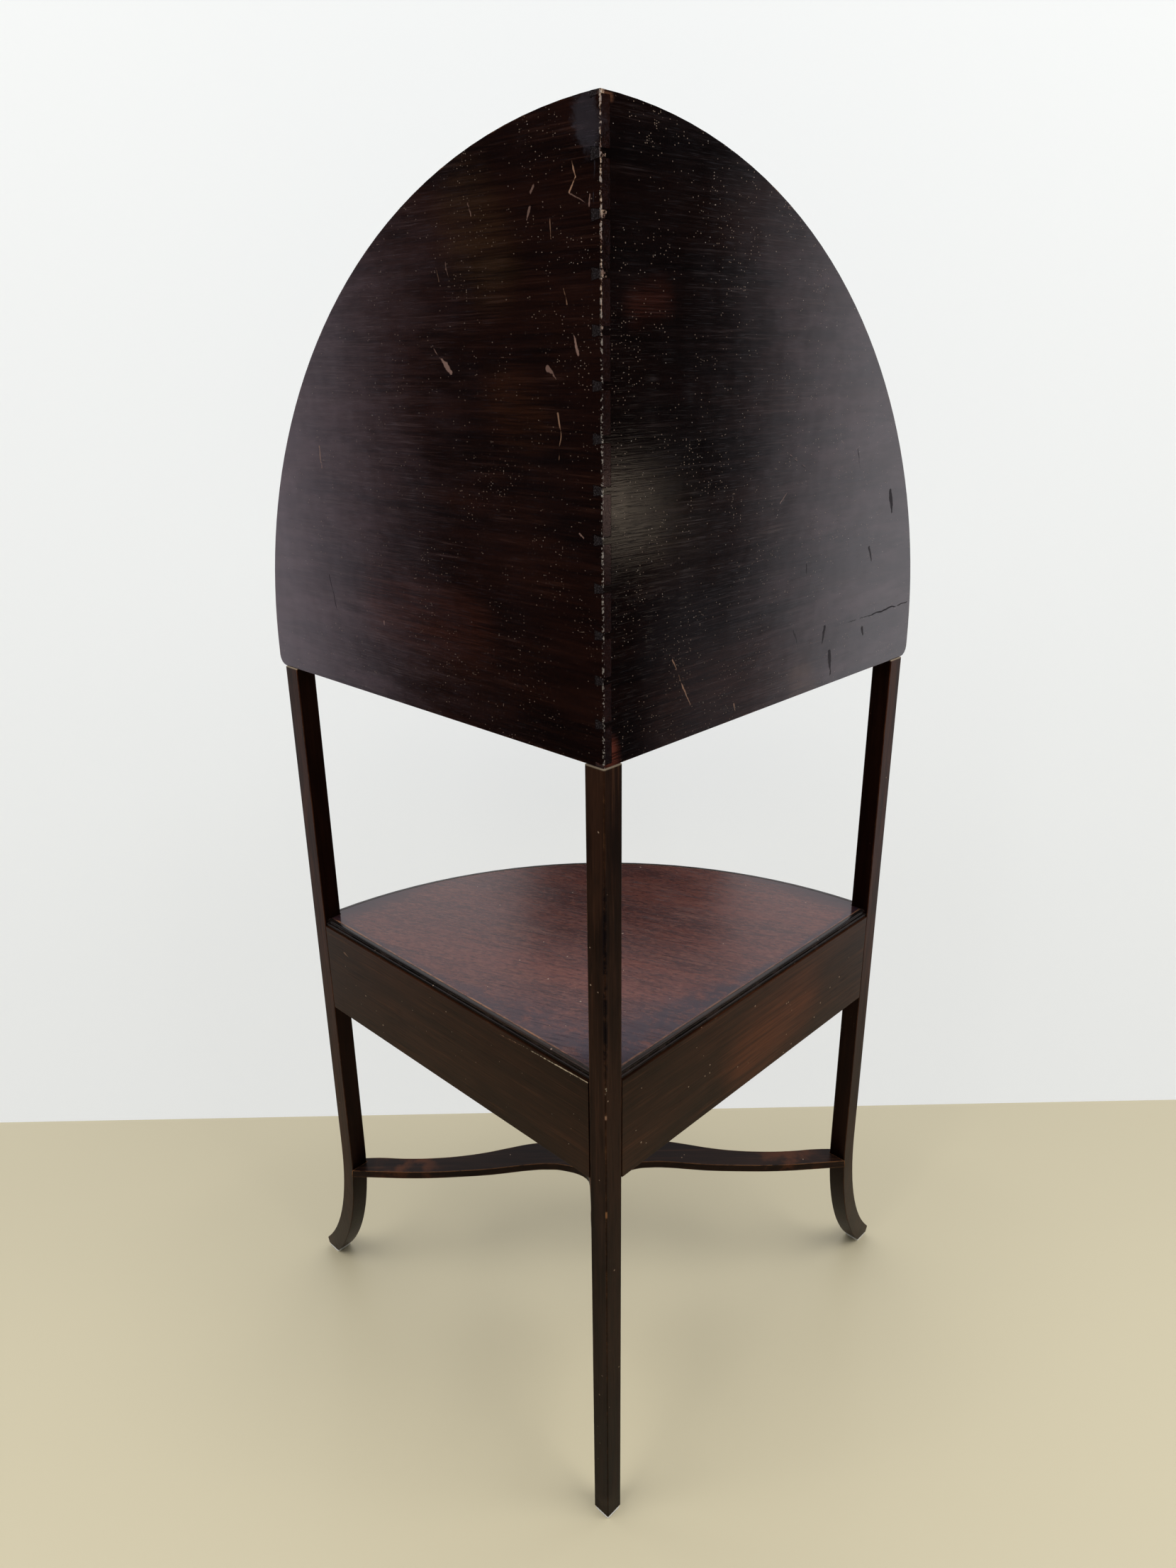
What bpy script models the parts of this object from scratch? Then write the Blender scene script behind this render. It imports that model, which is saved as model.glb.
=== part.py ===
"""Corner washstand: three slim legs, a basin top behind two tall arched splash boards,
a mid shelf over a frieze with a small drawer, and a shaped stretcher near the floor.

Metres, +Z up. The drawer opens towards -Y and the corner that fits the room's corner is at +Y.
Left and right are those of someone who stands at the drawer.
"""
import math
import bpy
import bmesh
from mathutils import Matrix

# Driving sizes
WALL_SIDE = 0.420            # from the corner to the outer end of a side leg
GAP = 0.0003                 # what touching pieces keep between them
OVERRUN = 0.004              # how far a cutter runs past what it cuts
EDGE = 0.0007                # worn-off arris of legs, rails and boards
WELD = 0.00001               # points this close are one
QUARTER_TURN = math.radians(90)
HALF_CORNER = math.radians(45)
ARRIS_ANGLE = math.radians(40)   # what is sharper is an arris and gets its edge taken off
FACET_ANGLE = math.radians(35)   # what is blunter is a round face and is shaded smooth
FLAT_ANGLE = math.radians(0.1)   # faces that meet this flatly are one face

# How finely the round forms are drawn
SWEEP_STEPS = 14
PAD_CORNER_STEPS = 2
SPLASH_CORNER_STEPS = 4
ARCH_STEPS = 40
TOP_STEPS = 36
BASIN_HOLE_SIDES = 64
CUP_HOLE_SIDES = 32
BOW_STEPS = 28
DUMMY_FRONT_STEPS = 10
DRAWER_FRONT_STEPS = 14
TOP_BLOCK_STEPS = 3
REED_STEPS = 6
FRONT_REED_STEPS = 112       # in a full turn about the corner
KNOB_STEPS = 24
STRETCHER_RESOLUTION = 5     # between two points of the stretcher's outline

# Legs
LEG_SQUARE = 0.0195
BACK_LEG_TAPER = 0.0013      # how much slimmer the back leg is at the floor
PAD_THICKNESS = 0.003
PAD_INSET = 0.0006           # from the sole's edge to the felt's
PAD_CORNER = 0.0015          # rounding of the felt's corners
SWEEP_START = 0.210          # height where a side leg starts to sweep out
SWEEP_OUTER_RADIUS = 0.285
SWEEP_FLARE = 0.026          # how much larger the radius of the inner curve is
SWEEP_TURN_SHARE = 0.14      # how far a foot leaves the wall's line, as a share of its sweep
TOE_HEIGHT = 0.010           # upright end of the toe

# Splash boards
SPLASH_THICKNESS = 0.008
SPLASH_REVEAL = 0.0015       # how far the boards lie behind the legs' outer faces
SPLASH_DROP = 0.072          # how far the boards and the apron hang below the basin top
SPLASH_OVERHANG = 0.010      # how far a board runs past the side leg
SPLASH_UPRIGHT = 0.013       # height of the board's upright outer end
SPLASH_RISE = 0.402          # from there to the apex
SPLASH_CORNER_RADIUS = 0.009
DOVETAIL_COUNT = 13
PIN_NARROW = 0.0044          # a pin's width on the face of the board with the tails
DOVETAIL_SLOPE = math.radians(10)

# Basin top
TOP_HEIGHT = 0.852
TOP_THICKNESS = 0.010
TOP_OVERHANG = 0.009         # past the apron's curved face
BASIN_FRONT_RIM = 0.036      # wood left between the basin hole and the front edge
BASIN_SIDE_RIM = 0.0273      # and between the basin hole and the splash boards
CUP_HOLE_RADIUS = 0.031
CUP_SIDE_RIM = 0.0335        # between a cup hole and its splash board
CUP_WEB = 0.018              # between a cup hole and the basin hole
CLEAT_WIDTH = 0.013
CLEAT_HEIGHT = 0.015
TOP_BLOCK_LENGTH = 0.040
TOP_BLOCK_DEPTH = 0.015
TOP_BLOCK_ANGLE = math.radians(24)

# Bow fronts of both tiers, struck from the corner
BOW_INSET = 0.015            # from the side leg's outer end to the curved face
BOW_THICKNESS = 0.016
BOW_RAIL_DEPTH = 0.020

# Frieze and mid shelf
FRIEZE_BOTTOM = 0.4053
FRIEZE_HEIGHT = 0.0982
RAIL_THICKNESS = 0.011
TENON_LENGTH = 0.008
TENON_THICKNESS = 0.005
TENON_SETBACK = 0.003        # from the rail's outer face to the tenon
TENON_SHOULDER = 0.008       # above and below the tenon
LOWER_RAIL_HEIGHT = 0.014
UPPER_RAIL_HEIGHT = 0.011
SHELF_THICKNESS = 0.0065
SHELF_SETBACK = 0.008        # from the frieze's outer face to the shelf panel's edge
SHELF_OVERHANG = 0.0025      # past the frieze's curved face
REED_WIDTH = 0.0065          # from the shelf panel's edge to the lower reed's face
REED_STEP = 0.0017           # how far the lower reed stands past the upper one
UPPER_REED_SHARE = 0.53      # the two reeds' heights, in shares of the shelf's thickness
LOWER_REED_SHARE = 0.44
REED_START = QUARTER_TURN    # both reeds' round faces, from the top over the free side
REED_END = math.radians(-75)

# Drawer, its opening and its runners
OPENING_HALF_WIDTH = 0.1003
DRAWER_SIDE_CLEARANCE = 0.0008
DRAWER_LIFT = 0.0003         # between the runner and the drawer
DRAWER_TOP_CLEARANCE = 0.0008
DRAWER_FRONT_THICKNESS = 0.027   # at the middle of the bow
DRAWER_REAR_SPACE = 0.0345   # from the drawer's rear corners to the back rails
DRAWER_SIDE_THICKNESS = 0.007
DRAWER_SIDE_DROP = 0.0081    # how far the sides lie below the front's upper edge
DRAWER_BOTTOM_THICKNESS = 0.004
GROOVE_HEIGHT = 0.0045       # from the drawer side's lower edge to its groove
GROOVE_DEPTH = 0.003
DRAWER_TAIL_COUNT = 2
DRAWER_TAIL_LENGTH = 0.0095  # how far the sides' tails reach into the front
DRAWER_PIN = 0.007           # wood of the front between two tails, where they start
RUNNER_WIDTH = 0.024
RUNNER_INSET = 0.014         # how far the runner reaches under the drawer
GUIDE_WIDTH = 0.007
GUIDE_HEIGHT = 0.014
KNOB_BASE_RADIUS = 0.0070
KNOB_BASE_THICKNESS = 0.0018
KNOB_NECK_RADIUS = 0.0034
KNOB_HEAD_RADIUS = 0.0088
KNOB_LENGTH = 0.0200
DUMMY_KNOB_ANGLE = math.radians(28.5)
# The knob's head, from its crown down to its neck, in shares of its radius and length
knob_head_shares = (
    (0.50, 0.98),
    (0.86, 0.90),
    (1.00, 0.76),
    (0.90, 0.63),
    (0.50, 0.50),
)

# Stretcher
STRETCHER_TOP = 0.1848
STRETCHER_THICKNESS = 0.009
STRETCHER_ARM_WIDTH = 0.022
STRETCHER_SIDE_LAP = 0.0156      # how far a side arm reaches past the leg's inner arris
STRETCHER_BACK_LAP = 0.0076      # and the back arm past the back leg's

# The side arms' edges: distance along the arm in shares of its reach, then the rear edge's
# and the front edge's place in shares of the arm's width, from the line between the side legs
side_arm_shares = (
    (0.14, -0.54, 1.50),
    (0.21, -0.39, 1.32),
    (0.29, -0.44, 1.16),
    (0.38, -0.60, 0.86),
    (0.45, -0.71, 0.61),
    (0.56, -0.80, 0.34),
    (0.68, -0.85, 0.21),
    (0.79, -0.82, 0.22),
    (0.90, -0.72, 0.33),
    (1.00, -0.63, 0.30),
)
FRONT_SWELL_SHARE = 1.62         # the front edge at the middle, in the same shares
# The back arm's edge: distance from the corner in shares of the line between the side legs,
# then the half width in shares of the arm's width
back_arm_shares = (
    (0.30, 0.47),
    (0.57, 0.48),
    (0.79, 0.62),
    (0.90, 0.98),
)

# Sizes that follow from those above
DIAGONAL = math.sqrt(2)
LEG_INNER = WALL_SIDE - LEG_SQUARE
SOLE_HEIGHT = PAD_THICKNESS + GAP
SWEEP_INNER_RADIUS = SWEEP_OUTER_RADIUS + SWEEP_FLARE
CHORD = WALL_SIDE / DIAGONAL     # from the corner to the line between the side legs
LEG_TOP = TOP_HEIGHT - TOP_THICKNESS - GAP
BOW_RADIUS = WALL_SIDE - BOW_INSET
TOP_RADIUS = BOW_RADIUS + TOP_OVERHANG
SPLASH_BOTTOM = TOP_HEIGHT - SPLASH_DROP
SPLASH_SPRING = SPLASH_BOTTOM + SPLASH_UPRIGHT
SPLASH_LENGTH = WALL_SIDE + SPLASH_OVERHANG
SPLASH_INNER = SPLASH_REVEAL + SPLASH_THICKNESS
# The largest circle that leaves both rims, and its distance from either wall
BASIN_HOLE_RADIUS = ((TOP_RADIUS - BASIN_FRONT_RIM - DIAGONAL * (SPLASH_INNER + BASIN_SIDE_RIM))
                     / (1 + DIAGONAL))
BASIN_CENTRE = SPLASH_INNER + BASIN_SIDE_RIM + BASIN_HOLE_RADIUS
APEX = SPLASH_SPRING + SPLASH_RISE
FRIEZE_TOP = FRIEZE_BOTTOM + FRIEZE_HEIGHT
SHELF_TOP = FRIEZE_TOP + SHELF_THICKNESS + GAP
SHELF_RADIUS = BOW_RADIUS + SHELF_OVERHANG
RAIL_FLOOR = FRIEZE_BOTTOM + LOWER_RAIL_HEIGHT
RAIL_CEILING = FRIEZE_TOP - UPPER_RAIL_HEIGHT
DRAWER_HALF = OPENING_HALF_WIDTH - DRAWER_SIDE_CLEARANCE
DRAWER_FLOOR = RAIL_FLOOR + DRAWER_LIFT
DRAWER_TOP = RAIL_CEILING - DRAWER_TOP_CLEARANCE
DRAWER_FRONT_BACK = BOW_RADIUS - DRAWER_FRONT_THICKNESS
DRAWER_BACK_AT = DRAWER_HALF + RAIL_THICKNESS * DIAGONAL + DRAWER_REAR_SPACE
GROOVE_EDGE = DRAWER_SIDE_THICKNESS - GROOVE_DEPTH
GROOVE_LOW = DRAWER_FLOOR + GROOVE_HEIGHT
GROOVE_HIGH = GROOVE_LOW + DRAWER_BOTTOM_THICKNESS + 2 * GAP
# The worn arris at the corner and the knob are what lies furthest back and forward
CORNER_Y = (BOW_RADIUS + GAP + KNOB_LENGTH + EDGE / DIAGONAL) / 2


def start_scene():
    """Empties the scene and returns the piece and cutter collections."""
    for thing in list(bpy.data.objects):
        bpy.data.objects.remove(thing, do_unlink=True)
    pieces = bpy.data.collections.new("washstand")
    cutters = bpy.data.collections.new("cutters")
    for group in (pieces, cutters):
        bpy.context.scene.collection.children.link(group)
    return pieces, cutters


def frame_at_corner(name, turn):
    """An empty at the corner's floor point, turned about Z."""
    empty = bpy.data.objects.new(name, None)
    empty.location = (0, CORNER_Y, 0)
    empty.rotation_euler = (0, 0, turn)
    PIECES.objects.link(empty)
    return empty


def finish(name, colour, roughness, metallic=0.0):
    material = bpy.data.materials.new(name)
    material.use_nodes = True
    shader = material.node_tree.nodes["Principled BSDF"]
    shader.inputs["Base Color"].default_value = (*colour, 1)
    shader.inputs["Roughness"].default_value = roughness
    shader.inputs["Metallic"].default_value = metallic
    return material


PIECES, CUTTERS = start_scene()
# Along the walls: X runs along the left wall and Y along the right wall, from the corner
WALLS = frame_at_corner("walls", math.radians(225))
# Towards the front: X runs from the corner to the drawer and Y to the right
FRONT = frame_at_corner("front", -QUARTER_TURN)
# The drawer moves along this frame's X
DRAWER = frame_at_corner("drawer", -QUARTER_TURN)

MAHOGANY = finish("mahogany", (0.075, 0.024, 0.016), 0.38)
MAHOGANY_RED = finish("mahogany_red", (0.150, 0.040, 0.022), 0.34)
EBONISED = finish("ebonised", (0.018, 0.013, 0.011), 0.40)
PINE = finish("pine", (0.33, 0.20, 0.10), 0.65)
BRASS = finish("brass", (0.62, 0.42, 0.14), 0.30, 1.0)
FELT = finish("felt", (0.80, 0.80, 0.77), 0.90)


def keep(thing, frame, material=None):
    """Parents a new object to its frame and puts it with the pieces, or with the cutters."""
    thing.parent = frame
    for group in list(thing.users_collection):
        group.objects.unlink(thing)
    if material:
        thing.data.materials.clear()
        thing.data.materials.append(material)
        PIECES.objects.link(thing)
    else:
        thing.hide_render = True
        thing.display_type = "WIRE"
        CUTTERS.objects.link(thing)
    return thing


def box(name, frame, low, high, material=None):
    """A box between two corners."""
    bpy.ops.mesh.primitive_cube_add(size=1)
    cube = bpy.context.active_object
    cube.name = name
    size = [b - a for a, b in zip(low, high)]
    cube.data.transform(Matrix.Diagonal((*size, 1)))
    cube.location = [(a + b) / 2 for a, b in zip(low, high)]
    return keep(cube, frame, material)


def cylinder(name, frame, centre, radius, low, high, sides):
    """An upright cylindrical cutter between two heights."""
    bpy.ops.mesh.primitive_cylinder_add(vertices=sides, radius=radius, depth=high - low)
    post = bpy.context.active_object
    post.name = name
    post.location = (*centre, (low + high) / 2)
    return keep(post, frame)


def as_mesh(curve_object, name):
    """Makes an extruded outline a closed mesh object in the same place."""
    bpy.context.view_layer.update()
    evaluated = curve_object.evaluated_get(bpy.context.evaluated_depsgraph_get())
    mesh = bpy.data.meshes.new_from_object(evaluated)
    shape = bmesh.new()
    shape.from_mesh(mesh)
    bmesh.ops.remove_doubles(shape, verts=shape.verts, dist=WELD)
    shape.to_mesh(mesh)
    shape.free()
    solid = bpy.data.objects.new(name, mesh)
    solid.matrix_world = curve_object.matrix_world
    PIECES.objects.link(solid)
    bpy.data.objects.remove(curve_object, do_unlink=True)
    return solid


def outline_solid(name, outline, depth, corners=None):
    """A closed flat outline, given thickness on both sides of its plane.

    With a list of corners the outline is a smooth curve that is only sharp at those points."""
    data = bpy.data.curves.new(name + "_outline", "CURVE")
    data.dimensions = "2D"
    data.fill_mode = "BOTH"
    data.extrude = depth / 2
    if corners is None:
        spline = data.splines.new("POLY")
        spline.points.add(len(outline) - 1)
        for point, (x, y) in zip(spline.points, outline):
            point.co = (x, y, 0, 1)
    else:
        data.resolution_u = STRETCHER_RESOLUTION
        spline = data.splines.new("BEZIER")
        spline.bezier_points.add(len(outline) - 1)
        for i, (point, (x, y)) in enumerate(zip(spline.bezier_points, outline)):
            point.co = (x, y, 0)
            point.handle_left_type = point.handle_right_type = "VECTOR" if i in corners else "AUTO"
    spline.use_cyclic_u = True
    flat = bpy.data.objects.new(name + "_outline", data)
    PIECES.objects.link(flat)
    return as_mesh(flat, name)


def level_plate(name, frame, outline, low, high, material=None, corners=None):
    """A plate that lies level between two heights."""
    plate = outline_solid(name, outline, high - low, corners)
    plate.location = (0, 0, (low + high) / 2)
    return keep(plate, frame, material)


def upright_plate(name, frame, along, outline, near, far, material=None):
    """A plate that stands upright: its outline runs along X or Y, and near to far lie across."""
    plate = outline_solid(name, outline, far - near)
    middle = (near + far) / 2
    if along == "Y":
        plate.rotation_euler = (QUARTER_TURN, 0, QUARTER_TURN)
        plate.location = (middle, 0, 0)
    else:
        plate.rotation_euler = (QUARTER_TURN, 0, 0)
        plate.location = (0, middle, 0)
    return keep(plate, frame, material)


def turned(name, frame, profile, steps, material, closed=False):
    """A profile from the top down its outer side, turned about Z."""
    shape = bmesh.new()
    points = [shape.verts.new((radius, 0, height)) for radius, height in profile]
    for first, second in zip(points, points[1:] + points[:1] if closed else points[1:]):
        shape.edges.new((first, second))
    mesh = bpy.data.meshes.new(name)
    shape.to_mesh(mesh)
    shape.free()
    piece = bpy.data.objects.new(name, mesh)
    screw = piece.modifiers.new("turned", "SCREW")
    screw.steps = screw.render_steps = steps
    screw.use_merge_vertices = True
    screw.merge_threshold = WELD
    PIECES.objects.link(piece)
    return keep(piece, frame, material)


def soften(piece):
    """Takes a piece's sharp arrises off."""
    bevel = piece.modifiers.new("worn edges", "BEVEL")
    bevel.width = EDGE
    bevel.segments = 1
    bevel.limit_method = "ANGLE"
    bevel.angle_limit = ARRIS_ANGLE
    return piece


def cut(piece, cutter, operation="DIFFERENCE"):
    """Cuts a piece with a cutter, or joins a helper shape to it."""
    boolean = piece.modifiers.new(cutter.name, "BOOLEAN")
    boolean.operation = operation
    boolean.solver = "EXACT"
    boolean.object = cutter
    return piece


def arc(radius, start, end, steps, centre=(0, 0)):
    """Points of an arc, ends included."""
    return [(centre[0] + radius * math.cos(start + (end - start) * i / steps),
             centre[1] + radius * math.sin(start + (end - start) * i / steps))
            for i in range(steps + 1)]


def across(side, x, y):
    """Wall coordinates for the right side, or mirrored for the left."""
    return (x, y) if side == "right" else (y, x)


def side_box(name, side, across_range, along_range, heights, material=None):
    """A box beside a wall: across is the distance from the wall, along runs from the corner."""
    low = (*across(side, across_range[0], along_range[0]), heights[0])
    high = (*across(side, across_range[1], along_range[1]), heights[1])
    return box(name, WALLS, low, high, material)


def side_axis(side):
    return "Y" if side == "right" else "X"


# Legs and their pads
def sweep(radius, height):
    """How far the sabre curve has moved out at a height."""
    drop = max(SWEEP_START - height, 0)
    return radius - math.sqrt(radius * radius - drop * drop)


def foot_turn(height):
    """How far a side leg has left the wall's line at a height, which keeps its foot off the
    skirting board."""
    return SWEEP_TURN_SHARE * sweep(SWEEP_OUTER_RADIUS, height)


def sweep_levels(foot):
    """The heights of the sabre curve's points, from its start down to the toe."""
    toe = foot + TOE_HEIGHT
    return [SWEEP_START + (toe - SWEEP_START) * i / SWEEP_STEPS for i in range(SWEEP_STEPS + 1)]


def side_leg_outline(grow, foot, top):
    """The side leg from the side; grow moves its inner face towards the corner."""
    inner = LEG_INNER - grow
    levels = sweep_levels(foot)
    points = [(inner, top)]
    points += [(inner + sweep(SWEEP_INNER_RADIUS, z), z) for z in levels + [foot]]
    points += [(WALL_SIDE + sweep(SWEEP_OUTER_RADIUS, levels[-1]), foot)]
    points += [(WALL_SIDE + sweep(SWEEP_OUTER_RADIUS, z), z) for z in reversed(levels)]
    return points + [(WALL_SIDE, top)]


def swept_plate(name, side, grow, foot, top, near, far, material=None):
    """A side leg's body: its outline given thickness, with the foot turned off the wall."""
    outline = side_leg_outline(grow, foot, top)
    plate = upright_plate(name, WALLS, side_axis(side), outline, near, far, material)
    off_wall = 1 if side == "right" else -1
    shape = bmesh.new()
    shape.from_mesh(plate.data)
    for level in sweep_levels(foot):
        bmesh.ops.bisect_plane(shape, geom=shape.verts[:] + shape.edges[:] + shape.faces[:],
                               plane_co=(0, level, 0), plane_no=(0, 1, 0), dist=WELD)
    bmesh.ops.remove_doubles(shape, verts=shape.verts, dist=WELD)
    for vertex in shape.verts:
        vertex.co.z += off_wall * foot_turn(vertex.co.y)
    bmesh.ops.dissolve_limit(shape, angle_limit=FLAT_ANGLE, verts=shape.verts, edges=shape.edges)
    shape.to_mesh(plate.data)
    shape.free()
    return plate


def side_leg(side):
    """A slim square leg with a sabre foot, rebated above for its splash board."""
    leg = swept_plate(side + "_leg", side, 0, SOLE_HEIGHT, LEG_TOP, 0, LEG_SQUARE, MAHOGANY)
    soften(leg)
    rebate = side_box(side + "_leg_rebate", side, (-OVERRUN, SPLASH_INNER + GAP),
                      (LEG_INNER - OVERRUN, WALL_SIDE + OVERRUN),
                      (SPLASH_BOTTOM - GAP, LEG_TOP + OVERRUN))
    cut(leg, rebate)
    cut(leg, mortise(side, LEG_INNER - OVERRUN, LEG_INNER + TENON_LENGTH + GAP, "front"))
    return leg


def mortise(side, start, end, which):
    """The pocket that a frieze rail's tenon fills."""
    return side_box(side + "_mortise_" + which, side,
                    (TENON_SETBACK - GAP, TENON_SETBACK + TENON_THICKNESS + GAP), (start, end),
                    (FRIEZE_BOTTOM + TENON_SHOULDER - GAP, FRIEZE_TOP - TENON_SHOULDER + GAP))


def back_leg():
    """The straight leg in the corner, tapered a little on its two inner faces to the floor."""
    leg = box("back_leg", WALLS, (0, 0, SOLE_HEIGHT), (LEG_SQUARE, LEG_SQUARE, LEG_TOP), MAHOGANY)
    shape = bmesh.new()
    shape.from_mesh(leg.data)
    middle_height = leg.location.z
    bmesh.ops.bisect_plane(shape, geom=shape.verts[:] + shape.edges[:] + shape.faces[:],
                           plane_co=(0, 0, FRIEZE_BOTTOM - middle_height), plane_no=(0, 0, 1))
    for vertex in shape.verts:
        if vertex.co.z < FRIEZE_BOTTOM - middle_height - EDGE:
            for axis in (0, 1):
                if vertex.co[axis] > 0:
                    vertex.co[axis] -= BACK_LEG_TAPER
    shape.to_mesh(leg.data)
    shape.free()
    soften(leg)
    for side in ("right", "left"):
        rebate = side_box(side + "_back_rebate", side, (-OVERRUN, SPLASH_INNER + GAP),
                          (-OVERRUN, LEG_SQUARE + OVERRUN),
                          (SPLASH_BOTTOM - GAP, LEG_TOP + OVERRUN))
        cut(leg, rebate)
        cut(leg, mortise(side, LEG_SQUARE - TENON_LENGTH - GAP, LEG_SQUARE + OVERRUN, "back"))
    return leg


def leg_clearances():
    """The space that the three legs take, with the gap that their neighbours keep."""
    spaces = [box("back_leg_clearance", WALLS, (-OVERRUN, -OVERRUN, -OVERRUN),
                  (LEG_SQUARE + GAP, LEG_SQUARE + GAP, LEG_TOP + OVERRUN))]
    for side in ("right", "left"):
        spaces.append(swept_plate(side + "_leg_clearance", side, GAP, SOLE_HEIGHT,
                                  LEG_TOP + OVERRUN, -OVERRUN, LEG_SQUARE + GAP))
    return spaces


def pads():
    """A square of felt with rounded corners under each foot."""
    back = (PAD_INSET, LEG_SQUARE - BACK_LEG_TAPER - PAD_INSET)
    along = (LEG_INNER + sweep(SWEEP_INNER_RADIUS, SOLE_HEIGHT) + PAD_INSET,
             WALL_SIDE + sweep(SWEEP_OUTER_RADIUS, SOLE_HEIGHT + TOE_HEIGHT) - PAD_INSET)
    off_wall = foot_turn(SOLE_HEIGHT)
    across_range = (off_wall + PAD_INSET, off_wall + LEG_SQUARE - PAD_INSET)
    places = {"back": (back, back), "right": (across_range, along), "left": (along, across_range)}
    for name, (x_range, y_range) in places.items():
        low, high = zip(x_range, y_range)
        centres = ((high[0], high[1], 0), (low[0], high[1], 1), (low[0], low[1], 2),
                   (high[0], low[1], 3))
        outline = []
        for x, y, quarters in centres:
            start = QUARTER_TURN * quarters
            inward = QUARTER_TURN * (quarters + 0.5)
            shift = PAD_CORNER * DIAGONAL
            outline += arc(PAD_CORNER, start, start + QUARTER_TURN, PAD_CORNER_STEPS,
                           (x - shift * math.cos(inward), y - shift * math.sin(inward)))
        level_plate("foot_pad_" + name, WALLS, outline, 0, PAD_THICKNESS, FELT)


# Splash boards with through dovetails at the corner
def splash_outline():
    """The board from its face: upright corner edge, rounded lower end and a quarter arch."""
    turn = SPLASH_CORNER_RADIUS
    points = [(SPLASH_REVEAL, SPLASH_BOTTOM)]
    points += arc(turn, -QUARTER_TURN, 0, SPLASH_CORNER_STEPS,
                  (SPLASH_LENGTH - turn, SPLASH_BOTTOM + turn))
    points.append((SPLASH_LENGTH, SPLASH_SPRING))
    for i in range(1, ARCH_STEPS + 1):
        angle = QUARTER_TURN * i / ARCH_STEPS
        points.append((max(SPLASH_LENGTH * math.cos(angle), SPLASH_REVEAL),
                       SPLASH_SPRING + SPLASH_RISE * math.sin(angle)))
    return points


def pin_outline(height, grow):
    """A pin's section from the face of the board with the tails: it widens inwards."""
    start = SPLASH_REVEAL - OVERRUN
    end = SPLASH_INNER + GAP
    narrow = PIN_NARROW / 2 + grow - OVERRUN * math.tan(DOVETAIL_SLOPE)
    wide = narrow + (end - start) * math.tan(DOVETAIL_SLOPE)
    return [(start, height - narrow), (end, height - wide),
            (end, height + wide), (start, height + narrow)]


def tail_outline(low, high):
    """A tail's section between two pins: it narrows inwards."""
    start = SPLASH_REVEAL - OVERRUN
    end = SPLASH_INNER + OVERRUN
    narrow = PIN_NARROW / 2 - OVERRUN * math.tan(DOVETAIL_SLOPE)
    wide = narrow + (end - start) * math.tan(DOVETAIL_SLOPE)
    return [(start, low + narrow), (end, low + wide), (end, high - wide), (start, high - narrow)]


def splash_boards():
    """The right board carries the tails and the left board the pins."""
    right = upright_plate("splash_board_right", WALLS, "Y", splash_outline(),
                          SPLASH_REVEAL, SPLASH_INNER, MAHOGANY)
    left = upright_plate("splash_board_left", WALLS, "X", splash_outline(),
                         SPLASH_REVEAL, SPLASH_INNER, MAHOGANY)
    pitch = (APEX - SPLASH_BOTTOM) / DOVETAIL_COUNT
    heights = [SPLASH_BOTTOM + pitch * i for i in range(DOVETAIL_COUNT + 1)]
    for i, height in enumerate(heights):
        socket = upright_plate("socket_%02d" % i, WALLS, "Y", pin_outline(height, GAP),
                               SPLASH_REVEAL - OVERRUN, SPLASH_INNER + OVERRUN)
        cut(right, socket)
    for i, (low, high) in enumerate(zip(heights, heights[1:])):
        waste = upright_plate("waste_%02d" % i, WALLS, "Y", tail_outline(low, high),
                              SPLASH_REVEAL - OVERRUN, SPLASH_INNER + GAP)
        cut(left, waste)


# Basin top, its apron and what holds it
def quarter(radius, inset):
    """A quarter round about the corner, its straight edges inset from both walls."""
    turn = math.asin(inset / radius)
    return [(inset, inset)] + arc(radius, turn, QUARTER_TURN - turn, TOP_STEPS)


def basin_top():
    """The quarter-round top with its basin hole and two cup holes."""
    outline = quarter(TOP_RADIUS, SPLASH_INNER + GAP)
    top = level_plate("basin_top", WALLS, outline, TOP_HEIGHT - TOP_THICKNESS, TOP_HEIGHT,
                      MAHOGANY_RED)
    cup_out = SPLASH_INNER + CUP_SIDE_RIM + CUP_HOLE_RADIUS
    cup_spacing = BASIN_HOLE_RADIUS + CUP_WEB + CUP_HOLE_RADIUS
    cup_along = BASIN_CENTRE + math.sqrt(cup_spacing ** 2 - (BASIN_CENTRE - cup_out) ** 2)
    holes = {"basin_hole": ((BASIN_CENTRE, BASIN_CENTRE), BASIN_HOLE_RADIUS, BASIN_HOLE_SIDES),
             "cup_hole_right": ((cup_out, cup_along), CUP_HOLE_RADIUS, CUP_HOLE_SIDES),
             "cup_hole_left": ((cup_along, cup_out), CUP_HOLE_RADIUS, CUP_HOLE_SIDES)}
    for name, (centre, radius, sides) in holes.items():
        cut(top, cylinder(name, WALLS, centre, radius, TOP_HEIGHT - TOP_THICKNESS - OVERRUN,
                          TOP_HEIGHT + OVERRUN, sides))
    soften(top)


def bow_outline(inner, outer, start, end, steps=BOW_STEPS):
    """A curved rail about the corner, in the front frame."""
    return arc(outer, start, end, steps) + arc(inner, end, start, steps)


def fitted_bow(name, inner, outer, low, high, spaces):
    """A curved rail from leg to leg, scribed to the legs and to what lines the walls."""
    outline = bow_outline(inner, outer, -HALF_CORNER, HALF_CORNER)
    rail = level_plate(name, FRONT, outline, low, high, MAHOGANY)
    for space in spaces:
        cut(rail, space)
    return rail


def wall_clearances(name, width, low, high):
    """The strips along both walls that boards or rails take."""
    strips = []
    for side in ("right", "left"):
        strips.append(side_box(name + "_" + side, side, (-OVERRUN, width + GAP),
                               (-OVERRUN, SPLASH_LENGTH + OVERRUN), (low - OVERRUN, high + OVERRUN)))
    return strips


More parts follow.
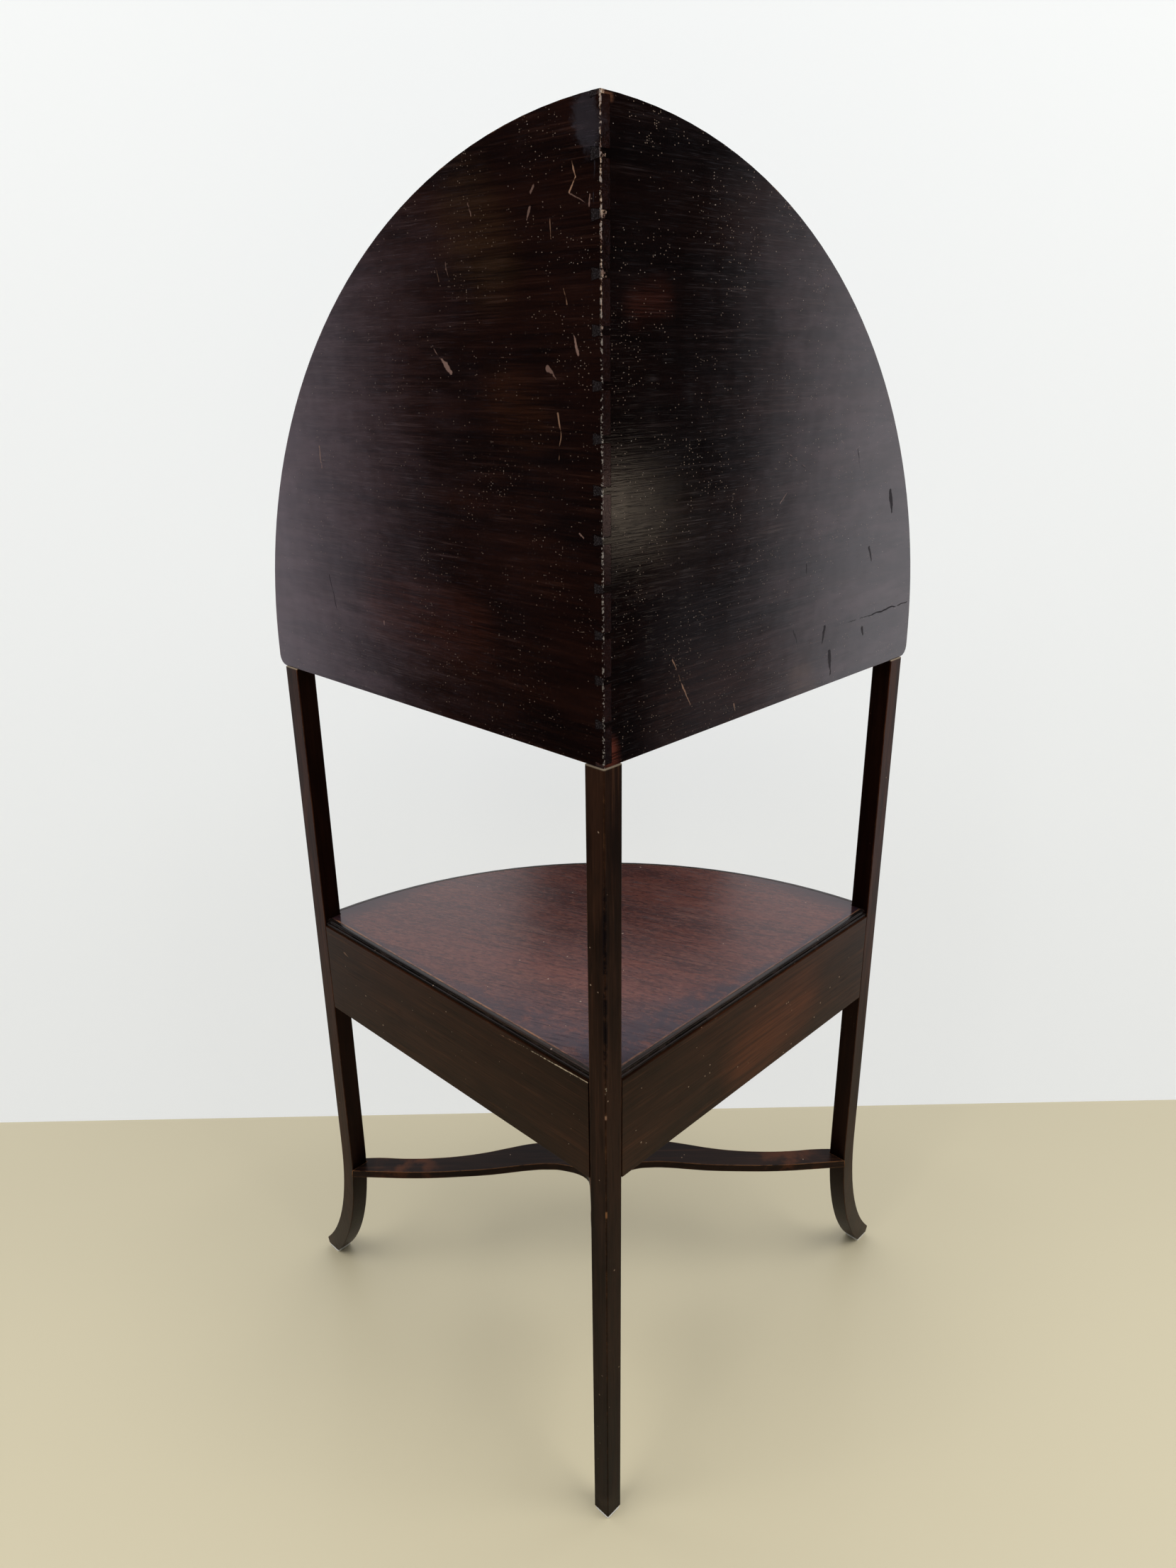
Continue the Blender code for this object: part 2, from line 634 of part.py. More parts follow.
def top_tier(legs):
    """The curved apron under the basin top, the cleats and the glue blocks."""
    under = LEG_TOP
    walls = wall_clearances("splash_space", SPLASH_INNER, SPLASH_BOTTOM, under)
    fitted_bow("top_apron", BOW_RADIUS - BOW_THICKNESS, BOW_RADIUS, SPLASH_BOTTOM, under,
               legs[1:] + walls)
    near = SPLASH_INNER + GAP
    for side in ("right", "left"):
        far = near + CLEAT_WIDTH
        end = math.sqrt((BOW_RADIUS - BOW_THICKNESS - GAP) ** 2 - far ** 2)
        side_box("top_cleat_" + side, side, (near, far), (max(LEG_SQUARE, far) + GAP, end),
                 (under - CLEAT_HEIGHT, under), PINE)
        turn = TOP_BLOCK_ANGLE if side == "right" else -TOP_BLOCK_ANGLE
        half = TOP_BLOCK_LENGTH / 2 / BOW_RADIUS
        outer = BOW_RADIUS - BOW_THICKNESS - GAP
        level_plate("top_block_" + side, FRONT,
                    bow_outline(outer - TOP_BLOCK_DEPTH, outer, turn - half, turn + half,
                                TOP_BLOCK_STEPS),
                    under - CLEAT_HEIGHT, under, PINE)


# Frieze, mid shelf and its reeded edge
def frieze_rail(side):
    """A back rail, flush with the legs, with a stub tenon at each end."""
    rail = side_box("frieze_rail_" + side, side, (0, RAIL_THICKNESS),
                    (LEG_SQUARE + GAP, LEG_INNER - GAP), (FRIEZE_BOTTOM, FRIEZE_TOP), MAHOGANY)
    tenons = side_box("tenons_" + side, side,
                      (TENON_SETBACK, TENON_SETBACK + TENON_THICKNESS),
                      (LEG_SQUARE - TENON_LENGTH, LEG_INNER + TENON_LENGTH),
                      (FRIEZE_BOTTOM + TENON_SHOULDER, FRIEZE_TOP - TENON_SHOULDER))
    return cut(rail, tenons, "UNION")


def dummy_front_outline(side):
    """A fixed bow panel from the drawer opening to the leg, in the front frame."""
    inner = BOW_RADIUS - BOW_THICKNESS
    edge = OPENING_HALF_WIDTH
    points = arc(BOW_RADIUS, math.asin(edge / BOW_RADIUS), HALF_CORNER, DUMMY_FRONT_STEPS)
    points += arc(inner, HALF_CORNER, math.asin(edge / inner), DUMMY_FRONT_STEPS)
    return points if side == "right" else [(x, -y) for x, y in reversed(points)]


def frieze(legs):
    """The two back rails, the bow rails above and below the drawer, and the dummy fronts."""
    for side in ("right", "left"):
        frieze_rail(side)
    walls = wall_clearances("rail_space", RAIL_THICKNESS, FRIEZE_BOTTOM, FRIEZE_TOP)
    spaces = legs[1:] + walls
    inner = BOW_RADIUS - BOW_RAIL_DEPTH
    fitted_bow("bow_rail_lower", inner, BOW_RADIUS, FRIEZE_BOTTOM, RAIL_FLOOR, spaces)
    fitted_bow("bow_rail_upper", inner, BOW_RADIUS, RAIL_CEILING, FRIEZE_TOP, spaces)
    for side in ("right", "left"):
        front = level_plate("dummy_front_" + side, FRONT, dummy_front_outline(side),
                            RAIL_FLOOR + GAP, RAIL_CEILING - GAP, MAHOGANY)
        for space in spaces:
            cut(front, space)


def mid_shelf(legs):
    """The quarter-round panel that rests on the frieze, notched around the legs."""
    outline = quarter(SHELF_RADIUS, SHELF_SETBACK)
    shelf = level_plate("mid_shelf", WALLS, outline, FRIEZE_TOP + GAP, SHELF_TOP, MAHOGANY_RED)
    for space in legs:
        cut(shelf, space)


def reed_profile(outward, panel_edge):
    """Two reeds with a quirk between them, the lower one further out, beside the panel.

    outward is 1 or -1, the sign of the direction from the panel to the free edge."""
    bottom = FRIEZE_TOP + GAP
    upper = SHELF_THICKNESS * UPPER_REED_SHARE / 2
    lower = SHELF_THICKNESS * LOWER_REED_SHARE / 2
    foot = panel_edge + outward * REED_WIDTH
    start = panel_edge + outward * GAP
    reeds = ((foot - outward * (REED_STEP + upper), SHELF_TOP - upper, upper),
             (foot - outward * lower, bottom + lower, lower))
    points = [(start, bottom), (start, SHELF_TOP)]
    for centre, height, radius in reeds:
        points += [(centre + outward * x, height + z)
                   for x, z in arc(radius, REED_START, REED_END, REED_STEPS)]
    return points


def shelf_reeding(legs):
    """The ebonised strips along the shelf's two straight edges and its curved front."""
    profile = reed_profile(-1, SHELF_SETBACK)
    for side in ("right", "left"):
        other = "X" if side == "right" else "Y"
        upright_plate("shelf_reeding_" + side, WALLS, other, profile,
                      LEG_SQUARE + GAP, LEG_INNER - GAP, EBONISED)
    strip = turned("shelf_reeding_front", WALLS, reed_profile(1, SHELF_RADIUS),
                   FRONT_REED_STEPS, EBONISED, closed=True)
    far = SHELF_RADIUS + REED_WIDTH + OVERRUN
    corner_space = box("front_quarter", WALLS, (SHELF_SETBACK, SHELF_SETBACK, FRIEZE_TOP - OVERRUN),
                       (far, far, SHELF_TOP + OVERRUN))
    cut(strip, corner_space, "INTERSECT")
    for space in legs[1:]:
        cut(strip, space)


# Drawer with its runners, guides and knobs
def knob(name, frame, angle):
    """A turned knob whose axis points away from the corner."""
    profile = [(0, KNOB_LENGTH)]
    profile += [(KNOB_HEAD_RADIUS * radius, KNOB_LENGTH * height)
                for radius, height in knob_head_shares]
    profile += [(KNOB_NECK_RADIUS, KNOB_BASE_THICKNESS + KNOB_NECK_RADIUS),
                (KNOB_BASE_RADIUS, KNOB_BASE_THICKNESS), (KNOB_BASE_RADIUS, 0), (0, 0)]
    piece = turned(name, frame, profile, KNOB_STEPS, BRASS)
    reach = BOW_RADIUS + GAP
    piece.location = (reach * math.cos(angle), reach * math.sin(angle),
                      (RAIL_FLOOR + RAIL_CEILING) / 2)
    piece.rotation_euler = (0, QUARTER_TURN, angle)


def drawer_front():
    """A solid front with a bowed outer face and a flat inner one, grooved for the bottom."""
    turn = math.asin(DRAWER_HALF / BOW_RADIUS)
    outline = [(DRAWER_FRONT_BACK, -DRAWER_HALF)]
    outline += arc(BOW_RADIUS, -turn, turn, DRAWER_FRONT_STEPS)
    outline.append((DRAWER_FRONT_BACK, DRAWER_HALF))
    front = level_plate("drawer_front", DRAWER, outline, DRAWER_FLOOR, DRAWER_TOP, MAHOGANY)
    cut(front, drawer_groove("front", (DRAWER_FRONT_BACK - OVERRUN,
                                       DRAWER_FRONT_BACK + GROOVE_DEPTH), -DRAWER_HALF + GROOVE_EDGE,
                             DRAWER_HALF - GROOVE_EDGE))
    for sign in (1, -1):
        low, high = sorted((sign * (DRAWER_HALF - DRAWER_SIDE_THICKNESS - GAP),
                            sign * (DRAWER_HALF + OVERRUN)))
        for tail in drawer_tails(GAP):
            cut(front, upright_plate("tail_socket", DRAWER, "X", tail, low, high))


def drawer_tails(grow):
    """The tails at a drawer side's front end, as outlines seen from the side, lowest first."""
    start = DRAWER_FRONT_BACK - GAP
    end = start + DRAWER_TAIL_LENGTH + grow
    if grow:
        start -= OVERRUN
    pitch = (DRAWER_TOP - DRAWER_SIDE_DROP - GROOVE_HIGH) / DRAWER_TAIL_COUNT
    tails = []
    for i in range(DRAWER_TAIL_COUNT):
        middle = GROOVE_HIGH + pitch * (i + 0.5)
        root = (pitch - DRAWER_PIN) / 2 + grow
        tip = root + DRAWER_TAIL_LENGTH * math.tan(DOVETAIL_SLOPE)
        tails.append([(start, middle - root), (end, middle - tip),
                      (end, middle + tip), (start, middle + root)])
    return tails


def drawer_groove(name, run, low, high):
    """A cutter for the groove that holds the drawer's bottom."""
    return box("groove_" + name, DRAWER, (run[0], low, GROOVE_LOW), (run[1], high, GROOVE_HIGH))


def drawer():
    """Front, sides, back and bottom of the drawer, which all move together."""
    drawer_front()
    inner = DRAWER_HALF - DRAWER_SIDE_THICKNESS
    front_end = DRAWER_FRONT_BACK - GAP
    side_top = DRAWER_TOP - DRAWER_SIDE_DROP
    for side, sign in (("right", 1), ("left", -1)):
        outline = [(DRAWER_BACK_AT, DRAWER_FLOOR), (front_end, DRAWER_FLOOR)]
        outline += [point for tail in drawer_tails(0) for point in tail]
        outline += [(front_end, side_top), (DRAWER_BACK_AT, side_top)]
        low, high = sorted((sign * inner, sign * DRAWER_HALF))
        panel = upright_plate("drawer_side_" + side, DRAWER, "X", outline, low, high, PINE)
        low, high = sorted((sign * (inner - OVERRUN), sign * (inner + GROOVE_DEPTH)))
        cut(panel, drawer_groove(side, (DRAWER_BACK_AT - OVERRUN, front_end + OVERRUN), low, high))
    box("drawer_back", DRAWER, (DRAWER_BACK_AT, -inner + GAP, GROOVE_HIGH),
        (DRAWER_BACK_AT + DRAWER_SIDE_THICKNESS, inner - GAP, side_top), PINE)
    reach = inner + GROOVE_DEPTH - GAP
    box("drawer_bottom", DRAWER, (DRAWER_BACK_AT, -reach, GROOVE_LOW + GAP),
        (DRAWER_FRONT_BACK + GROOVE_DEPTH - GAP, reach, GROOVE_HIGH - GAP), PINE)
    knob("drawer_knob", DRAWER, 0)


def rail_mitre(offset):
    """Where a bar this far off the middle line meets the back rail's inner face."""
    return abs(offset) + (RAIL_THICKNESS + GAP) * DIAGONAL


def bar_outline(near, far, radius):
    """A bar from the back rail to a curved front piece, between two offsets."""
    return [(rail_mitre(near), near), (math.sqrt(radius ** 2 - near ** 2), near),
            (math.sqrt(radius ** 2 - far ** 2), far), (rail_mitre(far), far)]


def runners():
    """The bars that the drawer slides on and the guides that keep it straight."""
    for side, sign in (("right", 1), ("left", -1)):
        near = OPENING_HALF_WIDTH - RUNNER_INSET
        level_plate("drawer_runner_" + side, FRONT,
                    bar_outline(sign * near, sign * (near + RUNNER_WIDTH),
                                BOW_RADIUS - BOW_RAIL_DEPTH - GAP),
                    FRIEZE_BOTTOM, RAIL_FLOOR, PINE)
        near = OPENING_HALF_WIDTH
        level_plate("drawer_guide_" + side, FRONT,
                    bar_outline(sign * near, sign * (near + GUIDE_WIDTH),
                                BOW_RADIUS - BOW_THICKNESS - GAP),
                    RAIL_FLOOR + GAP, RAIL_FLOOR + GAP + GUIDE_HEIGHT, PINE)


# Stretcher
def stretcher(legs):
    """A flat board sawn to three wavy arms, scribed to the legs that carry its ends."""
    width = STRETCHER_ARM_WIDTH
    reach = (LEG_INNER - LEG_SQUARE) / DIAGONAL + STRETCHER_SIDE_LAP
    start = LEG_SQUARE * DIAGONAL - STRETCHER_BACK_LAP
    rear = [(CHORD + back * width, along * reach) for along, back, front in side_arm_shares]
    front = [(CHORD + front * width, along * reach) for along, back, front in side_arm_shares]
    spine = [(start, back_arm_shares[0][1] * width)]
    spine += [(along * CHORD, half * width) for along, half in back_arm_shares]
    half_outline = spine + rear + list(reversed(front))
    outline = half_outline + [(CHORD + FRONT_SWELL_SHARE * width, 0)]
    outline += [(x, -y) for x, y in reversed(half_outline)]
    side_end = len(spine) + len(rear)
    square_ends = [0, side_end - 1, side_end]
    square_ends += [len(outline) - 1 - i for i in square_ends]
    board = level_plate("stretcher", FRONT, outline, STRETCHER_TOP - STRETCHER_THICKNESS,
                        STRETCHER_TOP, MAHOGANY, square_ends)
    for space in legs:
        cut(board, space)


def smooth_round_pieces():
    """Shades curved faces smooth and leaves the arrises sharp."""
    for piece in PIECES.objects:
        if piece.type == "MESH":
            piece.data.shade_smooth()
            piece.data.set_sharp_from_angle(angle=FACET_ANGLE)


back_leg()
for leg_side in ("right", "left"):
    side_leg(leg_side)
LEG_SPACES = leg_clearances()
pads()
splash_boards()
basin_top()
top_tier(LEG_SPACES)
frieze(LEG_SPACES)
mid_shelf(LEG_SPACES)
shelf_reeding(LEG_SPACES)
drawer()
for knob_side, knob_angle in (("right", DUMMY_KNOB_ANGLE), ("left", -DUMMY_KNOB_ANGLE)):
    knob("dummy_knob_" + knob_side, FRONT, knob_angle)
runners()
stretcher(LEG_SPACES)
smooth_round_pieces()
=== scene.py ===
# %% [markdown]
# # A corner washstand in Blender
# The stand is a Georgian form: a quarter-round table in three tiers, with two tall splash boards
# that meet in the room's corner. We look at it from behind, so the polish on the boards, the slim
# legs and the worn arrises carry the picture. The construction comes from a CAD model, which is
# loaded as a fixed frame. This notebook gives each piece its worn edges and its finish.

# %% Load the frame
import math
from functools import partial

import bpy
from mathutils import Matrix, Vector


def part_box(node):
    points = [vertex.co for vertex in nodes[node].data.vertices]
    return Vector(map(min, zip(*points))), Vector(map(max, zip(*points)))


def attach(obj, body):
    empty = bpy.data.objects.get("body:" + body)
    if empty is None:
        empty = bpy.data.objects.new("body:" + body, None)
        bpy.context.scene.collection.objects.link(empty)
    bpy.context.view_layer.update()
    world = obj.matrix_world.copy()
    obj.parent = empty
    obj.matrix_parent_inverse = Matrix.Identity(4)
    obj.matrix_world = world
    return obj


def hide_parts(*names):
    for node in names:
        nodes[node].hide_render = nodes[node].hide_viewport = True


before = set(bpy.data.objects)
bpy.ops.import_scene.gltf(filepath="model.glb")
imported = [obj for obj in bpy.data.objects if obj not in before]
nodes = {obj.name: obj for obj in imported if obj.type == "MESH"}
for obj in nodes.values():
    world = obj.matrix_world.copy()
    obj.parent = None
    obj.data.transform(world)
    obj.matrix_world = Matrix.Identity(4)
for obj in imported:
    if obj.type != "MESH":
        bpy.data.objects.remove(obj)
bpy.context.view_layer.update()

# %% [markdown]
# ## The corner
# Nearly every piece lies along one of the two walls. So we find the corner first: the outermost
# arris of the back leg. Two unit vectors then run along the walls from it, and left and right are
# those of someone who stands at the drawer.

# %% Corner and walls
CORNER = Vector((0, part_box("back_leg")[1].y, 0))
HALF_TURN = math.sqrt(0.5)
ALONG_RIGHT = Vector((HALF_TURN, -HALF_TURN, 0))
ALONG_LEFT = Vector((-HALF_TURN, -HALF_TURN, 0))
BOARD_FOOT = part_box("splash_board_right")[0].z
BOARD_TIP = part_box("splash_board_right")[1].z
BOARD_REVEAL = (CORNER.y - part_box("splash_board_right")[1].y) * HALF_TURN
print("corner:", [round(c, 4) for c in CORNER], "boards from", round(BOARD_FOOT, 3), "to",
      round(BOARD_TIP, 3), "reveal", round(BOARD_REVEAL, 4))

# %% [markdown]
# ## The camera
# The photograph was taken close to the stand with a phone's wide lens, from the height of a seated
# eye, looking down a little. The camera's place was found by matching the legs' feet and tops. The
# sensor is fitted to the tall side, because the picture is upright.

# %% Camera
PHOTO_SIZE = Vector((1659, 2212))
FOCAL_PIXELS = 1526.27
CAMERA_PLACE = Vector((0.0205, CORNER.y + 0.7173, 1.0516))
YAW, PITCH, ROLL = (math.radians(a) for a in (0.7237, 21.4757, -0.644))

forward = Vector((-math.sin(YAW) * math.cos(PITCH), -math.cos(YAW) * math.cos(PITCH),
                  -math.sin(PITCH)))
level_right = Vector((-math.cos(YAW), math.sin(YAW), 0))
level_up = level_right.cross(forward)
picture_right = level_right * math.cos(ROLL) + level_up * math.sin(ROLL)
picture_up = level_up * math.cos(ROLL) - level_right * math.sin(ROLL)

bpy.ops.object.camera_add(location=CAMERA_PLACE)
camera = bpy.context.object
camera.matrix_world = Matrix.Translation(CAMERA_PLACE) @ Matrix(
    (picture_right, picture_up, -forward)).transposed().to_4x4()
camera.data.sensor_fit = "AUTO"
camera.data.sensor_width = 36
camera.data.lens = FOCAL_PIXELS / PHOTO_SIZE.y * camera.data.sensor_width
bpy.context.scene.camera = camera
print("lens:", round(camera.data.lens, 2), "mm")

# %% [markdown]
# ## Helpers for node trees
# A finish is a tree of small nodes. A few helpers keep the cells short: one adds a node and fills
# its sockets, and the others are the arithmetic, the ranges and the noises that every finish uses.

# %% Node helpers


def place(tree, kind, settings=None, **inputs):
    """Adds a node; an input is a value, or another node's socket to link."""
    made = tree.nodes.new(kind)
    for name, value in (settings or {}).items():
        setattr(made, name, value)
    for name, value in inputs.items():
        key = int(name[1:]) if name[0] == "i" and name[1:].isdigit() else name.replace("_", " ")
        socket = made.inputs[key]
        if isinstance(value, bpy.types.NodeSocket):
            tree.links.new(value, socket)
        else:
            socket.default_value = value
    return made


def maths(tree, operation, *values, clamp=False):
    """A Math node's result."""
    made = place(tree, "ShaderNodeMath", {"operation": operation, "use_clamp": clamp},
                 **{"i%d" % i: v for i, v in enumerate(values)})
    return made.outputs[0]


def times(tree, *factors, clamp=False):
    """The product of two or more values."""
    product = factors[0]
    for factor in factors[1:]:
        product = maths(tree, "MULTIPLY", product, factor, clamp=clamp)
    return product


def ramp(tree, value, low, high, to_low=0.0, to_high=1.0, smooth=True):
    """Maps one range of values to another, clamped, with soft ends."""
    made = place(tree, "ShaderNodeMapRange",
                 {"interpolation_type": "SMOOTHSTEP" if smooth else "LINEAR"},
                 Value=value, From_Min=low, From_Max=high, To_Min=to_low, To_Max=to_high)
    return made.outputs[0]


def blend(tree, amount, low, high):
    """Mixes two colours."""
    made = place(tree, "ShaderNodeMix", {"data_type": "RGBA"}, i0=amount, i6=low, i7=high)
    return made.outputs[2]


def between(tree, operation, first, second):
    """A Vector Math node's result."""
    made = place(tree, "ShaderNodeVectorMath", {"operation": operation}, i0=first, i1=second)
    return made.outputs["Value" if operation in ("DOT_PRODUCT", "DISTANCE") else "Vector"]


def noise(tree, vector, scale, detail, roughness=0.5, distortion=0.0):
    """A Noise Texture's grey value."""
    return place(tree, "ShaderNodeTexNoise", Vector=vector, Scale=scale, Detail=detail,
                 Roughness=roughness, Distortion=distortion).outputs[0]


def object_spot(tree):
    """Object coordinates, the only ones that the pieces' finishes read."""
    return place(tree, "ShaderNodeTexCoord").outputs["Object"]


def split(tree, vector):
    """A vector's X, Y and Z."""
    return place(tree, "ShaderNodeSeparateXYZ", Vector=vector).outputs


def true_normal(tree):
    """The way a face looks, before any smoothing."""
    return place(tree, "ShaderNodeNewGeometry").outputs["True Normal"]


def colour(red, green, blue):
    """A colour with full alpha."""
    return (red, green, blue, 1.0)


def new_material(name):
    """An empty material; returns it with its node tree and its shader."""
    made = bpy.data.materials.new(name)
    made.use_nodes = True
    return made, made.node_tree, made.node_tree.nodes["Principled BSDF"]


print("helpers ready")

# %% [markdown]
# ## The room
# Dark polish shows its surroundings more than its own colour. The white wall behind the stand is
# what the boards' outer parts mirror at a flat angle, and the side of the room behind the camera is
# dim, so the boards go nearly black towards their corner. The world is therefore bright on the
# wall's side and overhead, and dim elsewhere. One strip of the wall lies in shade, and the shelf
# mirrors it as a redder, deeper zone. The camera itself sees plain white.

# %% World
DIM = 0.01
OVERHEAD = 0.85
WHITE_WALL = 1.15
LOW_WALL = 0.18
LEFT_RISE, LEFT_POWER = (-0.13, -0.25), 1.4
RIGHT_RISE, RIGHT_POWER = (-0.12, -0.26), 1.8
OVERHEAD_RISE = (0.45, 0.9)
SHADE_LEVEL = 0.03
SHADE_MIDDLE = -0.045
SHADE_HALF_WIDTH = 0.07
SHADE_SOFT_TO = 0.12

world = bpy.data.worlds.new("room")
bpy.context.scene.world = world
world.use_nodes = True
room = world.node_tree
room.nodes.clear()
way = split(room, place(room, "ShaderNodeTexCoord").outputs["Generated"])
is_right = maths(room, "GREATER_THAN", way["X"], 0.0)
from_left = maths(room, "POWER", ramp(room, way["Y"], *LEFT_RISE, smooth=False), LEFT_POWER)
from_right = maths(room, "POWER", ramp(room, way["Y"], *RIGHT_RISE, smooth=False), RIGHT_POWER)
wallward = place(room, "ShaderNodeMix", i0=is_right, i2=from_left, i3=from_right).outputs[0]
low_left = times(room, maths(room, "SUBTRACT", 1.0, is_right),
                 times(room, ramp(room, way["Z"], -0.13, -0.27, 0.0, LOW_WALL),
                       ramp(room, way["Y"], -0.05, -0.12)))
overhead = ramp(room, way["Z"], *OVERHEAD_RISE, 0.0, OVERHEAD)
level = maths(room, "MAXIMUM", times(room, wallward, WHITE_WALL),
              maths(room, "MAXIMUM", low_left, overhead))
level = maths(room, "MAXIMUM", level, DIM)
off_strip = maths(room, "ABSOLUTE", maths(room, "SUBTRACT", way["X"], SHADE_MIDDLE))
shade_side = ramp(room, off_strip, SHADE_HALF_WIDTH, SHADE_SOFT_TO)
shade_high = maths(room, "MAXIMUM", ramp(room, way["Z"], 0.495, 0.54),
                   ramp(room, way["Y"], -0.6, -0.5))
shade = maths(room, "MAXIMUM", shade_side, shade_high)
level = times(room, level, ramp(room, shade, 0.0, 1.0, SHADE_LEVEL, 1.0))
seen = place(room, "ShaderNodeLightPath").outputs["Is Camera Ray"]
sky = place(room, "ShaderNodeBackground", Color=colour(0.97, 0.985, 1.0),
            Strength=maths(room, "MAXIMUM", level, seen))
place(room, "ShaderNodeOutputWorld", Surface=sky.outputs[0])
print("world nodes:", len(room.nodes))

# %% [markdown]
# Two large lamps stand for the ceiling lights. Each is soft because it is large, and both are high,
# so the upright faces do not mirror them. A third, small and weak lamp far to the left is the one
# that the left board does mirror: it gives the grey patch beside the boards' corner.

# %% Lamps


def lamp(name, spot, aim, size, power):
    """A square soft lamp at a spot, turned to what it lights."""
    bpy.ops.object.light_add(type="AREA", location=spot)
    made = bpy.context.object
    made.name = name
    made.data.size = size
    made.data.energy = power
    made.rotation_euler = (Vector(aim) - Vector(spot)).to_track_quat("-Z", "Y").to_euler()
    return made


STAND_MIDDLE = (0, 0, 0.6)
CEILING = 2.5
CEILING_LAMP = 1.3
WINDOW_PLACE = (-2.98, 0.075, 0.575)
WINDOW_AIM = (0, 0.2, 0.95)
WINDOW_WIDTH = 0.21
lamp("ceiling_right", (1.2, 0.9, CEILING), STAND_MIDDLE, CEILING_LAMP, 30.0)
lamp("ceiling_left", (-1.3, 0.8, CEILING), STAND_MIDDLE, CEILING_LAMP, 34.0)
window = lamp("far_window", WINDOW_PLACE, WINDOW_AIM, WINDOW_WIDTH, 0.21)
window.data.color = (1.0, 0.89, 0.62)

# %% [markdown]
# The floor and the wall are plain. The wall stands where the photograph has it. From its back it is
# clear, so that it hides nothing in the views from the front, and light passes it for the same
# reason.

# %% Floor and wall
WALL_DISTANCE = 0.402
WALL_WIDTH = 9.0
WALL_HEIGHT = 4.0
WALL_COLOUR = colour(0.35, 0.357, 0.354)
WALL_LIGHT = colour(0.97, 0.99, 1.0)
WALL_GLOW = 0.59
FLOOR_WIDTH = 9.0
FLOOR_COLOUR = colour(0.53, 0.47, 0.32)
FLOOR_FADE = (0.5, 1.6)


def plain_finish(name, base, roughness):
    """A single plain colour, only for the room; returns what new_material does."""
    made, tree, shader = new_material(name)
    shader.inputs["Base Color"].default_value = base
    shader.inputs["Roughness"].default_value = roughness
    return made, tree, shader


floor_finish, floor_tree, floor_shader = plain_finish("pale_floor", FLOOR_COLOUR, 0.5)
floor_spot = object_spot(floor_tree)
how_far = place(floor_tree, "ShaderNodeVectorMath", {"operation": "LENGTH"}, Vector=floor_spot)
mirrored = place(floor_tree, "ShaderNodeLightPath").outputs["Is Glossy Ray"]
fade = times(floor_tree, mirrored, ramp(floor_tree, how_far.outputs["Value"], *FLOOR_FADE))
faded = place(floor_tree, "ShaderNodeMixShader", Fac=fade,
              i1=floor_shader.outputs[0],
              i2=place(floor_tree, "ShaderNodeBsdfTransparent").outputs[0])
floor_tree.links.new(faded.outputs[0], floor_tree.nodes["Material Output"].inputs["Surface"])
wall_finish, wall_tree, wall_shader = plain_finish("white_wall", WALL_COLOUR, 0.9)
wall_shader.inputs["Emission Color"].default_value = WALL_LIGHT
wall_shader.inputs["Emission Strength"].default_value = WALL_GLOW
rays = place(wall_tree, "ShaderNodeLightPath").outputs
faces_us = maths(wall_tree, "SUBTRACT", 1.0,
                 place(wall_tree, "ShaderNodeNewGeometry").outputs["Backfacing"])
looked_at = times(wall_tree, rays["Is Camera Ray"], faces_us)
solid = place(wall_tree, "ShaderNodeMixShader", Fac=looked_at,
              i1=place(wall_tree, "ShaderNodeBsdfTransparent").outputs[0],
              i2=wall_shader.outputs[0])
wall_tree.links.new(solid.outputs[0], wall_tree.nodes["Material Output"].inputs["Surface"])

bpy.ops.mesh.primitive_plane_add(size=FLOOR_WIDTH, location=(0, 0, 0))
floor = bpy.context.object
floor.name = "floor"
floor.data.materials.append(floor_finish)
bpy.ops.mesh.primitive_plane_add(size=1, rotation=(math.radians(-90), 0, 0),
                                 location=(0, -WALL_DISTANCE, WALL_HEIGHT / 2))
back_wall = bpy.context.object
back_wall.scale = (WALL_WIDTH, WALL_HEIGHT, 1)
back_wall.name = "back_wall"
back_wall.data.materials.append(wall_finish)
wall_looks = back_wall.matrix_world.to_quaternion() @ Vector((0, 0, 1))
print("wall faces:", [round(c, 2) for c in wall_looks])

# %% [markdown]
# ## Shared effects
# Old polished wood has the same few things everywhere: grain, pores, tiny pale knocks, scratches
# and rubbed arrises. Each is a node group, built once and placed in every finish with its own
# values. A group gives only a mask or a value, and the finish decides what to do with it.

# %% Group helper


def new_group(name, inputs, outputs):
    """A node group with named sockets; returns it with its inputs' sockets and its output node."""
    group = bpy.data.node_groups.new(name, "ShaderNodeTree")
    for socket_name, kind, value in inputs:
        socket = group.interface.new_socket(socket_name, in_out="INPUT", socket_type=kind)
        if value is not None:
            socket.default_value = value
    for socket_name, kind in outputs:
        group.interface.new_socket(socket_name, in_out="OUTPUT", socket_type=kind)
    given = group.nodes.new("NodeGroupInput").outputs
    result = group.nodes.new("NodeGroupOutput").inputs
    return group, given, result


def use(tree, group, **inputs):
    """Places a group in a tree and returns its outputs."""
    return place(tree, "ShaderNodeGroup", {"node_tree": group}, **inputs).outputs


VALUE, VECTOR = "NodeSocketFloat", "NodeSocketVector"
print("group helper ready")

# %% [markdown]
# ### Grain
# Mahogany has broad darker and lighter ribbons, fine fibres, and short open pores that the polish
# never quite fills. All three are noise, stretched along the first axis, so a finish only has to
# turn its coordinates until that axis runs with the grain.

